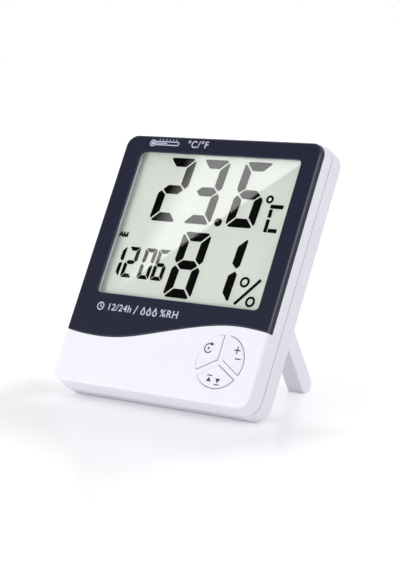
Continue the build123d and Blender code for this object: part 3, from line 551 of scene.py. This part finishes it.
def shade(colour, factor):
    return tuple(min(channel * factor, 1.0) for channel in colour)


def cover(tree, shader, colour, roughness, surface):
    """Gives a shader its colour and roughness, and the normal of a shader group."""
    tree.links.new(colour, shader.inputs["Base Color"])
    tree.links.new(roughness, shader.inputs["Roughness"])
    tree.links.new(surface.outputs["Normal"], shader.inputs["Normal"])


def plastic(name, colour, rough=(0.28, 0.42), grain=0.12, specular=0.5, speck=0.9):
    """Moulded plastic with a fine grain, handling clouds and a few specks."""
    material, tree, shader, vector = new_material(name)
    surface = use_group(tree, "moulded_surface", vector, Grain_Strength=grain)
    clouded = blend_colours(tree, surface.outputs["Clouds"], colour, shade(colour, 0.975))
    tone = blend_colours(tree, surface.outputs["Specks"], clouded, shade(colour, speck))
    cover(tree, shader, tone, spread(tree, surface.outputs["Clouds"], *rough), surface)
    shader.inputs["Specular IOR Level"].default_value = specular
    return material


def metal(name, colour, rough=(0.18, 0.38), scale=2600.0):
    """Drawn or plated metal with fine lines."""
    material, tree, shader, vector = new_material(name)
    surface = use_group(tree, "drawn_metal", vector, Line_Scale=scale)
    tone = blend_colours(tree, surface.outputs["Lines"], colour, shade(colour, 0.8))
    cover(tree, shader, tone, spread(tree, surface.outputs["Lines"], *rough), surface)
    shader.inputs["Metallic"].default_value = 1.0
    return material


def clear_lens_material():
    """Polished acrylic with the faintest wipe marks, which lets light through to what it covers."""
    material, tree, shader, vector = new_material("clear_lens")
    for label, value in (("Base Color", rgba(CLEAR_ACRYLIC)), ("Transmission Weight", 1.0),
                         ("IOR", 1.49)):
        shader.inputs[label].default_value = value
    wipes = ramp_node(tree, noise_node(tree, vector, scale=45.0, detail=4.0, roughness=0.7),
                      low=0.45, high=0.75)
    tree.links.new(spread(tree, wipes, 0.01, 0.02), shader.inputs["Roughness"])
    path = tree.nodes.new("ShaderNodeLightPath")
    open_air = tree.nodes.new("ShaderNodeBsdfTransparent")
    choose_shader(tree, path.outputs["Is Shadow Ray"], shader.outputs["BSDF"],
                  open_air.outputs["BSDF"], output_of(tree))
    return material


def display_film_material(colour):
    """Front of the display cell, under its polariser film."""
    material, tree, shader, vector = new_material("display_film")
    film = use_group(tree, "film_surface", vector)
    tone = blend_colours(tree, film.outputs["Tone"], shade(colour, 0.985), shade(colour, 1.015))
    cover(tree, shader, tone, spread(tree, film.outputs["Tone"], 0.30, 0.36), film)
    shader.inputs["Specular IOR Level"].default_value = 0.1
    return material


def board_material(colour):
    """Solder mask over copper traces, with tinned vias."""
    material, tree, shader, vector = new_material("solder_mask")
    traces = use_group(tree, "board_traces", vector)
    masked = blend_colours(tree, traces.outputs["Traces"], colour, MASKED_COPPER)
    tone = blend_colours(tree, traces.outputs["Vias"], masked, TINNED_VIA)
    cover(tree, shader, tone, spread(tree, traces.outputs["Traces"], 0.32, 0.45), traces)
    return material


def cell_material(colour):
    """Plain jacket with a copper band at the plus end and bare steel ends."""
    material, tree, shader, vector = new_material("cell_jacket")
    low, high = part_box("battery_cell")
    across = axes_of(tree, vector)["X"]
    band = math_node(tree, "GREATER_THAN", across, high[0] - CELL_BAND)
    plus_end = math_node(tree, "GREATER_THAN", across, high[0] - CELL_PLUS_END)
    minus_end = math_node(tree, "LESS_THAN", across, low[0] + CELL_MINUS_END)
    steel = math_node(tree, "MAXIMUM", plus_end, minus_end)
    surface = use_group(tree, "moulded_surface", vector, Grain_Strength=0.05)
    jacket = blend_colours(tree, surface.outputs["Clouds"], colour, shade(colour, 0.8))
    banded = blend_colours(tree, band, jacket, COPPER_BAND)
    tone = blend_colours(tree, steel, banded, CELL_STEEL)
    cover(tree, shader, tone, spread(tree, surface.outputs["Clouds"], 0.22, 0.34), surface)
    metallic = math_node(tree, "MAXIMUM", steel, math_node(tree, "MULTIPLY", band, 0.7))
    tree.links.new(metallic, shader.inputs["Metallic"])
    return material


# Geometry Nodes: cross-recess screws, one at each point of a mesh

def screw_tree(material):
    """Screws with a rim and a dome for a head, a cross cut into it, and a thread on the shank."""
    tree = bpy.data.node_groups.new("cross_recess_screws", "GeometryNodeTree")
    tree.interface.new_socket(name="Points", in_out="INPUT", socket_type="NodeSocketGeometry")
    for label, default in (*SHELL_SCREW_SIZES.items(), ("Seed", SCREW_SEED)):
        kind = "NodeSocketInt" if label == "Seed" else "NodeSocketFloat"
        socket = tree.interface.new_socket(name=label, in_out="INPUT", socket_type=kind)
        socket.default_value = default
    tree.interface.new_socket(name="Screws", in_out="OUTPUT", socket_type="NodeSocketGeometry")
    given, out = tree.nodes.new("NodeGroupInput"), tree.nodes.new("NodeGroupOutput")

    def node(kind, **inputs):
        return new_node(tree, "GeometryNode" + kind, **inputs)

    def times(value, share):
        return math_node(tree, "MULTIPLY", value, share)

    def vector(x=0.0, y=0.0, z=0.0):
        made = tree.nodes.new("ShaderNodeCombineXYZ")
        for socket, value in zip(made.inputs, (x, y, z)):
            feed(tree, socket, value)
        return made.outputs["Vector"]

    def moved(made, **inputs):
        return node("Transform", Geometry=made.outputs["Mesh"], **inputs).outputs["Geometry"]

    def joined_by(operation, first, others):
        made = tree.nodes.new("GeometryNodeMeshBoolean")
        made.operation = operation
        made.solver = "EXACT"
        if first:
            tree.links.new(first, made.inputs["Mesh 1"])
        for other in others:
            tree.links.new(other, made.inputs["Mesh 2"])
        return made.outputs["Mesh"]

    radius, height = given.outputs["Head Radius"], given.outputs["Head Height"]
    rim_height = times(height, RIM_HEIGHT)
    rim = node("MeshCylinder", Vertices=HEAD_SIDES, Radius=radius, Depth=rim_height)
    rim_up = moved(rim, Translation=vector(z=times(rim_height, 0.5)))
    flat = math_node(tree, "DIVIDE", times(height, DOME_HEIGHT), radius)
    dome = node("MeshUVSphere", Segments=HEAD_SIDES, Rings=HEAD_SIDES // 2, Radius=radius)
    dome_up = moved(dome, Translation=vector(z=rim_height), Scale=vector(1.0, 1.0, flat))
    head = joined_by("UNION", None, (rim_up, dome_up))
    cross = []
    for turn in (0.0, math.pi / 2):
        blade = node("MeshCube", Size=vector(times(radius, CROSS_REACH), given.outputs["Cross Width"],
                                             times(height, CROSS_HEIGHT)))
        cross.append(moved(blade, Translation=vector(z=times(height, CROSS_RISE)),
                           Rotation=(0, 0, turn)))
    cut = joined_by("DIFFERENCE", head, cross)

    length, thread_depth = given.outputs["Shank Length"], given.outputs["Thread Depth"]
    core = node("MeshCylinder", Vertices=SHANK_SIDES, Depth=length,
                Radius=math_node(tree, "SUBTRACT", given.outputs["Shank Radius"], thread_depth))
    core_down = moved(core, Translation=vector(z=times(length, -0.5)))
    thread_radius = math_node(tree, "SUBTRACT", given.outputs["Shank Radius"],
                              times(thread_depth, THREAD_SINK))
    spiral = node("CurveSpiral", Resolution=SHANK_SIDES, Start_Radius=thread_radius,
                  End_Radius=thread_radius, Height=times(length, THREAD_LENGTH),
                  Rotations=math_node(tree, "DIVIDE", length, given.outputs["Thread Pitch"]))
    ridge = node("CurvePrimitiveCircle", Resolution=RIDGE_SIDES, Radius=thread_depth)
    thread = node("CurveToMesh", Curve=spiral.outputs["Curve"], Profile_Curve=ridge.outputs["Curve"],
                  Fill_Caps=True)
    thread_down = moved(thread, Translation=vector(z=times(length, -THREAD_DROP)))

    whole = tree.nodes.new("GeometryNodeJoinGeometry")
    for geometry in (cut, core_down, thread_down):
        tree.links.new(geometry, whole.inputs["Geometry"])
    turns = tree.nodes.new("FunctionNodeRandomValue")
    turns.data_type = "FLOAT"
    turns.inputs[2].default_value = 0.0
    turns.inputs[3].default_value = math.pi
    tree.links.new(given.outputs["Seed"], turns.inputs["Seed"])
    placed = node("InstanceOnPoints", Points=given.outputs["Points"], Instance=whole.outputs["Geometry"],
                  Rotation=vector(-math.pi / 2, turns.outputs[1], 0.0))
    real = node("RealizeInstances", Geometry=placed.outputs["Instances"])
    finish = node("SetMaterial", Geometry=real.outputs["Geometry"], Material=material)
    tree.links.new(finish.outputs["Geometry"], out.inputs["Screws"])
    return tree


def socket_identifier(tree, label):
    return next(item.identifier for item in tree.interface.items_tree
                if item.name == label and item.in_out == "INPUT")


def screws_piece(name, places, seat, values, tree, material, node):
    """Screws at places on the case, standing on their seat, in place of a CAD node."""
    points = bpy.data.meshes.new(name)
    points.from_pydata([(x, seat, z) for x, z in places], [], [])
    holder = mesh_object(name, points)
    modifier = holder.modifiers.new("Screws", "NODES")
    modifier.node_group = tree
    for label, value in values.items():
        modifier[socket_identifier(tree, label)] = value
    mesh = evaluated_mesh(holder, name)
    bpy.data.objects.remove(holder)
    bpy.data.meshes.remove(points)
    mesh.transform(Matrix.Scale(MM, 4))
    piece = mesh_object(name, in_case(mesh))
    piece.data.shade_flat()
    dress(piece, material, "case", (node,))


class CLOCK_OT_case(bpy.types.Operator):
    """Finish the case halves, face panel, leg, battery door and display frame"""
    bl_idname = "clock.case"
    bl_label = "Finish Case"

    def execute(self, context):
        colours = context.scene.clock_colours
        white = plastic("white_plastic", tuple(colours.white))
        finish_nodes(white, "front_shell", "rear_shell", "stand_leg", "battery_door", "display_frame")
        panel = plastic("dark_panel", tuple(colours.panel), rough=(0.275, 0.278), grain=0.01, speck=1.0)
        finish_nodes(panel, "face_panel")
        return {"FINISHED"}


class CLOCK_OT_buttons(bpy.types.Operator):
    """Finish the front and back buttons, the rubber pad and the rubber connector"""
    bl_idname = "clock.buttons"
    bl_label = "Finish Buttons"

    def execute(self, context):
        cap_white = shade(tuple(context.scene.clock_colours.white), 0.985)
        caps = plastic("button_plastic", cap_white, rough=(0.22, 0.34), grain=0.06)
        finish_nodes(caps, "mode_button", "adjust_button", "memory_button")
        grey = plastic("grey_plastic", GREY_PLASTIC, rough=(0.40, 0.55))
        finish_nodes(grey, "unit_button", "reset_button")
        rubber = plastic("pad_rubber", PAD_RUBBER, rough=(0.60, 0.78), grain=0.3, specular=0.3)
        finish_nodes(rubber, "button_membrane", "zebra_connector")
        return {"FINISHED"}


class CLOCK_OT_display(bpy.types.Operator):
    """Finish the window lens and the display behind it"""
    bl_idname = "clock.display"
    bl_label = "Finish Display"

    def execute(self, context):
        colours = context.scene.clock_colours
        finish_nodes(clear_lens_material(), "window_lens")
        finish_nodes(display_film_material(tuple(colours.film)), "display_glass")
        ink = plastic("display_ink", tuple(colours.ink), rough=(0.35, 0.45), grain=0.02, specular=0.0,
                      speck=1.2)
        finish_nodes(ink, "display_marks")
        foil = plastic("reflector_foil", REFLECTOR_FOIL, rough=(0.35, 0.5), grain=0.2)
        finish_nodes(foil, "display_reflector")
        return {"FINISHED"}


class CLOCK_OT_electronics(bpy.types.Operator):
    """Finish the circuit board, what sits on it, and the steel and brass pieces"""
    bl_idname = "clock.electronics"
    bl_label = "Finish Electronics"

    def execute(self, context):
        finish_nodes(board_material(tuple(context.scene.clock_colours.board)), "circuit_board")
        resin = plastic("black_resin", BLACK_RESIN, rough=(0.22, 0.5), grain=0.25, speck=1.6)
        finish_nodes(resin, "chip_blob", "board_capacitors", "thermistor", "rear_switches")
        finish_nodes(metal("bright_steel", BRIGHT_STEEL), "clock_crystal", "stand_pin",
                     "battery_minus_contact", "battery_plus_contact")
        finish_nodes(plastic("sensor_box", SENSOR_BOX, rough=(0.35, 0.5)), "humidity_sensor")
        finish_nodes(metal("brass_disc", BRASS_DISC, scale=1400.0), "piezo_buzzer")
        return {"FINISHED"}


class CLOCK_OT_battery(bpy.types.Operator):
    """Finish the battery cell and its leads"""
    bl_idname = "clock.battery"
    bl_label = "Finish Battery"

    def execute(self, context):
        finish_nodes(cell_material(tuple(context.scene.clock_colours.jacket)), "battery_cell")
        finish_nodes(plastic("black_sleeve", BLACK_SLEEVE, rough=(0.3, 0.45), grain=0.05, speck=1.4),
                     "battery_minus_lead")
        finish_nodes(plastic("red_sleeve", RED_SLEEVE, rough=(0.3, 0.45), grain=0.05),
                     "battery_plus_lead")
        return {"FINISHED"}


class CLOCK_OT_screws(bpy.types.Operator):
    """Put cross-recess screws in the back and on the circuit board"""
    bl_idname = "clock.screws"
    bl_label = "Place Screws"

    def execute(self, context):
        sizes = context.scene.clock_sizes
        zinc = metal("zinc_screw", ZINC, rough=(0.25, 0.45))
        tree = screw_tree(zinc)
        screws_piece("case_screws", SHELL_SCREWS, SHELL_SCREW_SEAT,
                     {**SHELL_SCREW_SIZES, "Head Radius": sizes.screw_head / MM,
                      "Cross Width": sizes.cross_width / MM, "Seed": sizes.scatter_seed},
                     tree, zinc, "shell_screws")
        screws_piece("inner_screws", BOARD_SCREWS, BOARD_SCREW_SEAT,
                     {**BOARD_SCREW_SIZES, "Seed": sizes.scatter_seed + 1}, tree, zinc, "board_screws")
        return {"FINISHED"}


def thermometer_sign():
    """A thermometer that lies on its side, with a scale above it."""
    x, z = THERMOMETER_PLACE
    stroke, bulb_radius = 0.45, 1.55
    tube_start, tube_end, tube_half = x + 1.4, x + 12.4, 0.72
    fluid_radius, fluid_width, fluid_start, fluid_end = 0.75, 0.4, x + 0.4, x + 7.0
    first_tick, tick_step, tick_low, tick_high, tick_width = x + 3.0, 1.7, z + 1.3, z + 1.8, 0.32
    bulb = (x - 0.1, z)
    shapes = [ring(bulb, bulb_radius, stroke)]
    for side in (tube_half, -tube_half):
        shapes.append(bar((tube_start, z + side), (tube_end, z + side), stroke))
    shapes.append(arc((tube_end, z), tube_half + stroke / 2, stroke, -90, 90))
    shapes.append(disc(bulb, fluid_radius))
    shapes.append(bar((fluid_start, z), (fluid_end, z), fluid_width))
    for index in range(6):
        tick = first_tick + index * tick_step
        shapes.append(bar((tick, tick_low), (tick, tick_high), tick_width))
    return shapes


def clock_and_drops_sign():
    """A clock face, a slash, and three hollow drops of water."""
    face_radius, rim, hand, slash_width = 1.75, 0.48, 0.42, 0.5
    (outer_radius, outer_height), (inner_radius, inner_height) = (1.15, 2.5), (0.62, 1.4)
    x, z = CLOCK_FACE_PLACE
    shapes = [ring((x, z), face_radius, rim), bar((x, z), (x, z + 1.0), hand),
              bar((x, z), (x + 0.75, z - 0.35), hand), bar(*SLASH_ENDS, slash_width)]
    for place in DROP_PLACES:
        shapes.append([drop(place, outer_radius, outer_height), drop(place, inner_radius, inner_height)])
    return shapes


def button_symbols():
    """Signs for the three buttons: next mode, change up or down, and highest and lowest."""
    stroke, thin = 0.46, 0.4

    def at(x, z):
        return BUTTON_CENTRE[0] + x, BUTTON_CENTRE[1] + z

    return {
        "mode": [arc(at(-6.4, 4.5), 2.0, stroke, 70, 330), disc(at(-6.4, 4.5), 0.45),
                 polygon(at(-5.9, 7.15), at(-5.8, 5.5), at(-4.3, 6.2))],
        "adjust": [bar(at(5.3, 5.1), at(7.9, 5.1), stroke), bar(at(6.6, 3.8), at(6.6, 4.8), stroke),
                   bar(at(6.6, 5.4), at(6.6, 6.4), stroke), bar(at(6.8, 1.8), at(9.0, 1.8), stroke)],
        "memory": [polygon(at(-3.4, -8.2), at(-1.2, -8.2), at(-2.3, -6.4)),
                   bar(at(-3.3, -5.8), at(-1.3, -5.8), thin),
                   polygon(at(0.7, -6.7), at(2.9, -6.7), at(1.8, -8.5)),
                   bar(at(0.8, -9.1), at(2.8, -9.1), thin)],
    }


class CLOCK_OT_marks(bpy.types.Operator):
    """Print the symbols on the panel and the buttons, and mould those on the back"""
    bl_idname = "clock.marks"
    bl_label = "Add Markings"

    def execute(self, context):
        colours, sizes = context.scene.clock_colours, context.scene.clock_sizes
        thick, raised = sizes.print_thickness, sizes.raised_mark * 2
        proud = thick / MM / 2
        pale = plastic("panel_print", tuple(colours.print), rough=(0.35, 0.5), grain=0.05)
        for name, shapes in (("temperature_symbols", thermometer_sign()),
                             ("clock_symbols", clock_and_drops_sign())):
            mesh = lay_on_front(mark_mesh(name, shapes, thick), PANEL_FACE, proud)
            dress(mesh_object(name, mesh), pale, "case")
        for name, text, size, x, z in PANEL_SIGNS:
            mesh = text_shape_mesh(name, text, size, thick, PRINT_BOLD)
            for vertex in mesh.vertices:
                vertex.co += Vector((x, z, 0.0))
            mesh = lay_on_front(mesh, PANEL_FACE, proud)
            dress(mesh_object(name, mesh), pale, "case")
        dark = plastic("button_print", BUTTON_PRINT, rough=(0.4, 0.5), grain=0.05, speck=1.3)
        for body, shapes in button_symbols().items():
            name = body + "_symbol"
            mesh = lay_on_front(mark_mesh(name, shapes, thick), BUTTON_FACE, proud)
            dress(mesh_object(name, mesh), dark, body)
        white = bpy.data.materials["white_plastic"]
        for name, text, size, x, z in BACK_SIGNS:
            mesh = lay_on_back(text_shape_mesh(name, text, size, raised), x, z)
            dress(mesh_object(name, mesh), white, "case")
        arrow = mark_mesh("door_arrow", [polygon((-1.6, 0.0), (1.6, 0.0), (0.0, -2.4))], raised)
        dress(mesh_object("door_arrow", lay_on_back(arrow, *DOOR_ARROW_PLACE)), white, "door")
        return {"FINISHED"}


# Studio

def add_camera():
    """The camera at the photograph's place, looking where the photograph looks."""
    turn = Vector(CAMERA_TURN)
    to_camera = Matrix.Rotation(turn.length, 3, turn.normalized())
    right, down, forward = (CASE_TO_WORLD.to_3x3() @ Vector(row) for row in to_camera)
    matrix = Matrix((right, -down, -forward)).transposed().to_4x4()
    matrix.translation = CASE_TO_WORLD @ (Vector(CAMERA_PLACE) * MM)
    data = bpy.data.cameras.new("camera")
    data.lens = CAMERA_LENS
    data.sensor_width = SENSOR_WIDTH
    data.clip_start = CLIP_START
    camera = put_in_scene(bpy.data.objects.new("camera", data))
    camera.matrix_world = matrix
    bpy.context.scene.camera = camera


def lamp(name, place, target, size, power, shape_ratio):
    """A soft panel lamp that faces a target."""
    data = bpy.data.lights.new(name, "AREA")
    data.shape = "RECTANGLE"
    data.size = size
    data.size_y = size * shape_ratio
    data.energy = power
    obj = put_in_scene(bpy.data.objects.new(name, data))
    aim = (Vector(target) - Vector(place)).to_track_quat("-Z", "Y")
    obj.matrix_world = Matrix.LocRotScale(Vector(place), aim, None)
    return obj


def white_world():
    """Light from all around, before a backdrop that the camera sees white."""
    world = bpy.data.worlds.new("studio_white")
    bpy.context.scene.world = world
    tree = emptied_tree(world)
    lights = []
    for colour, strength in ((SKY_TINT, SKY_LIGHT), (WHITE, BACKDROP_LIGHT)):
        background = new_node(tree, "ShaderNodeBackground", Color=rgba(colour), Strength=strength)
        lights.append(background.outputs["Background"])
    path = tree.nodes.new("ShaderNodeLightPath").outputs
    seen = math_node(tree, "MAXIMUM", path["Is Camera Ray"], path["Is Transmission Ray"])
    choose_shader(tree, seen, *lights, tree.nodes.new("ShaderNodeOutputWorld"))


def seen_in_gloss(name, strength):
    """A glow that only direct reflections see."""
    material = bpy.data.materials.new(name)
    tree = emptied_tree(material)
    glow = new_node(tree, "ShaderNodeEmission", Strength=strength)
    glow.name = "Glow"
    hidden = tree.nodes.new("ShaderNodeBsdfTransparent")
    path = tree.nodes.new("ShaderNodeLightPath").outputs
    before_any_scatter = math_node(tree, "LESS_THAN", path["Diffuse Depth"], 0.5)
    seen = math_node(tree, "MULTIPLY", path["Is Glossy Ray"], before_any_scatter)
    choose_shader(tree, seen, hidden.outputs["BSDF"], glow.outputs["Emission"],
                  tree.nodes.new("ShaderNodeOutputMaterial"))
    return material


def reflector_card(name, corners, strength):
    """A card in the case's axes, in millimetres, that only direct reflections see."""
    mesh = sheet_mesh(name, [CASE_TO_WORLD @ (Vector(corner) * MM) for corner in corners])
    card = mesh_object(name, mesh)
    card.visible_shadow = False
    mesh.materials.append(seen_in_gloss(name, strength))
    return card


def fading_card(name, corners, coordinates, receiver, fade, strengths):
    """A card that one node mirrors, fading over one coordinate, with a strength over the other."""
    card = reflector_card(name, corners, strengths[0])
    light_only(card, receiver)
    for loop, place in zip(card.data.uv_layers.new(name="Fade").data, coordinates):
        loop.uv = place
    tree = card.data.materials[0].node_tree
    over = axes_of(tree, tree.nodes.new("ShaderNodeTexCoord").outputs["UV"])
    glow = math_node(tree, "MULTIPLY", ramp_node(tree, over["X"], *fade, smooth=True),
                     spread(tree, over["Y"], *strengths))
    tree.links.new(glow, tree.nodes["Glow"].inputs["Strength"])


def mirrored(place, normal, reach):
    """Where the camera's view of a place on the case goes after the surface mirrors it."""
    place, normal = Vector(place), Vector(normal)
    view = (Vector(CAMERA_PLACE) - place).normalized()
    return place + (2 * normal.dot(view) * normal - view) * reach


def window_card():
    """A bright card that the window mirrors as a beam with one sharp and one soft side."""
    front = (0.0, -1.0, 0.0)
    flag, beam = ([mirrored((x, LENS_FACE, z), front, reach) for x, z in corners]
                  for corners, reach in ((FLAG_CORNERS, FLAG_REACH), (BEAM_CORNERS, CARD_REACH)))
    reflector_card("black_flag", flag, FLAG_GLOW)
    fades = [(BEAM_FADE[0] * x + BEAM_FADE[1] * z + BEAM_FADE[2], 0.0) for x, z in BEAM_CORNERS]
    fading_card("window_card", beam, fades, "window_lens", (1.0, 0.0), (BEAM_GLOW, BEAM_GLOW))


def edge_card(name, turns, ends, upright, strengths):
    """A soft strip that the panel's right or top edge mirrors."""
    slope = math.atan2(PARTING_DEPTH, FRONT_DRAW_IN)
    drawn_in = FRONT_DRAW_IN + FRONT_EDGE_RADIUS * math.tan(slope / 2)
    square = ((0, 0), (1, 0), (1, 1), (0, 1))
    corners = []
    for side, end in square:
        turn, along = math.radians(turns[side]), ends[end]
        out, front = math.sin(turn), -math.cos(turn)
        reach, depth = FRONT_EDGE_RADIUS * out - drawn_in, FRONT_EDGE_RADIUS * (1 + front)
        if upright:
            place, normal = (CASE_WIDTH / 2 + reach, depth, along), (out, front, 0.0)
        else:
            place, normal = (along, depth, CASE_HEIGHT + reach), (0.0, front, out)
        corners.append(mirrored(place, normal, CARD_REACH))
    fading_card(name, corners, square, "face_panel", (0.0, EDGE_FADE_END), strengths)


def floor_glow(tree, place):
    """How strongly the floor glows: least close around the case, which paints a shade there over the real
    shadow, more away from it and behind.
    """
    axes = axes_of(tree, place)

    def number(operation, one, two=None):
        return math_node(tree, operation, one, two)

    beside = number("SUBTRACT", number("ABSOLUTE", axes["X"]), SHADOW_HALF_WIDTH)
    beside = number("MULTIPLY", number("MAXIMUM", beside, 0.0), SIDE_WEIGHT)
    before = number("MAXIMUM", number("SUBTRACT", SHADOW_FRONT, axes["Y"]), 0.0)
    away = number("SQRT", number("ADD", number("MULTIPLY", beside, beside),
                                 number("MULTIPLY", before, before)))
    near = ramp_node(tree, away, SHADOW_REACH, 0.0, smooth=True)
    far = ramp_node(tree, away, SHADOW_REACH, CLEAR_REACH, smooth=True)
    behind = ramp_node(tree, axes["Y"], SHADOW_FRONT, 0.0, smooth=True)
    amount = number("ADD", number("MULTIPLY", near, GLOW_NEAR), number("MULTIPLY", far, GLOW_FAR))
    amount = number("MAXIMUM", amount, number("MULTIPLY", behind, GLOW_BEHIND))
    return number("ADD", amount, GLOW_BASE)


def floor():
    """A pale, faintly glossy floor with a glow of its own towards the camera."""
    corners = [(x * FLOOR_REACH, y * FLOOR_REACH, 0.0) for x, y in ((-1, -1), (1, -1), (1, 1), (-1, 1))]
    mesh = sheet_mesh("studio_floor", corners)
    material, tree, shader, vector = new_material("studio_floor")
    sheen = ramp_node(tree, noise_node(tree, vector, scale=3.0, detail=2.0), low=0.3, high=0.7)
    tree.links.new(spread(tree, sheen, 0.16, 0.20), shader.inputs["Roughness"])
    shader.inputs["Base Color"].default_value = rgba(PALE_FLOOR)
    path = tree.nodes.new("ShaderNodeLightPath")
    # Only the camera sees this glow. Where it is weaker, around the case, it paints a shade on the floor.
    seen = math_node(tree, "MULTIPLY", path.outputs["Is Camera Ray"], floor_glow(tree, vector))
    lift = new_node(tree, "ShaderNodeEmission", Color=rgba(WHITE), Strength=seen)
    both = tree.nodes.new("ShaderNodeAddShader")
    tree.links.new(shader.outputs["BSDF"], both.inputs[0])
    tree.links.new(lift.outputs["Emission"], both.inputs[1])
    tree.links.new(both.outputs["Shader"], output_of(tree).inputs["Surface"])
    mesh.materials.append(material)
    obj = mesh_object("studio_floor", mesh)


class CLOCK_OT_studio(bpy.types.Operator):
    """Set the floor, the light and the camera"""
    bl_idname = "clock.studio"
    bl_label = "Set Studio"

    def execute(self, context):
        context.scene.view_settings.view_transform = "Standard"
        white_world()
        floor()
        window_card()
        for card in EDGE_CARDS:
            edge_card(*card)
        lamps = {values[0]: lamp(*values) for values in LAMPS}
        light_only(lamps["leg_lamp"], "stand_leg")
        add_camera()
        return {"FINISHED"}


class CLOCK_PT_panel(bpy.types.Panel):
    """The clock's colours, sizes and steps"""
    bl_idname = "CLOCK_PT_panel"
    bl_label = "Clock"
    bl_space_type = "VIEW_3D"
    bl_region_type = "UI"
    bl_category = "Clock"

    def draw(self, context):
        layout = self.layout
        for group in (context.scene.clock_colours, context.scene.clock_sizes):
            for name in group.bl_rna.properties.keys():
                if name not in ("rna_type", "name"):
                    layout.prop(group, name)
        for operator in OPERATORS:
            layout.operator(operator.bl_idname)


OPERATORS = (CLOCK_OT_studio, CLOCK_OT_case, CLOCK_OT_buttons, CLOCK_OT_display, CLOCK_OT_electronics,
             CLOCK_OT_battery, CLOCK_OT_screws, CLOCK_OT_marks)
CLASSES = (ClockColours, ClockSizes, *OPERATORS, CLOCK_PT_panel)


def register():
    for cls in CLASSES:
        bpy.utils.register_class(cls)
    bpy.types.Scene.clock_colours = PointerProperty(type=ClockColours)
    bpy.types.Scene.clock_sizes = PointerProperty(type=ClockSizes)


def unregister():
    del bpy.types.Scene.clock_sizes
    del bpy.types.Scene.clock_colours
    for cls in reversed(CLASSES):
        bpy.utils.unregister_class(cls)


def main():
    register()
    for operator in OPERATORS:
        group, name = operator.bl_idname.split(".")
        getattr(getattr(bpy.ops, group), name)()


if __name__ == "__main__":
    main()
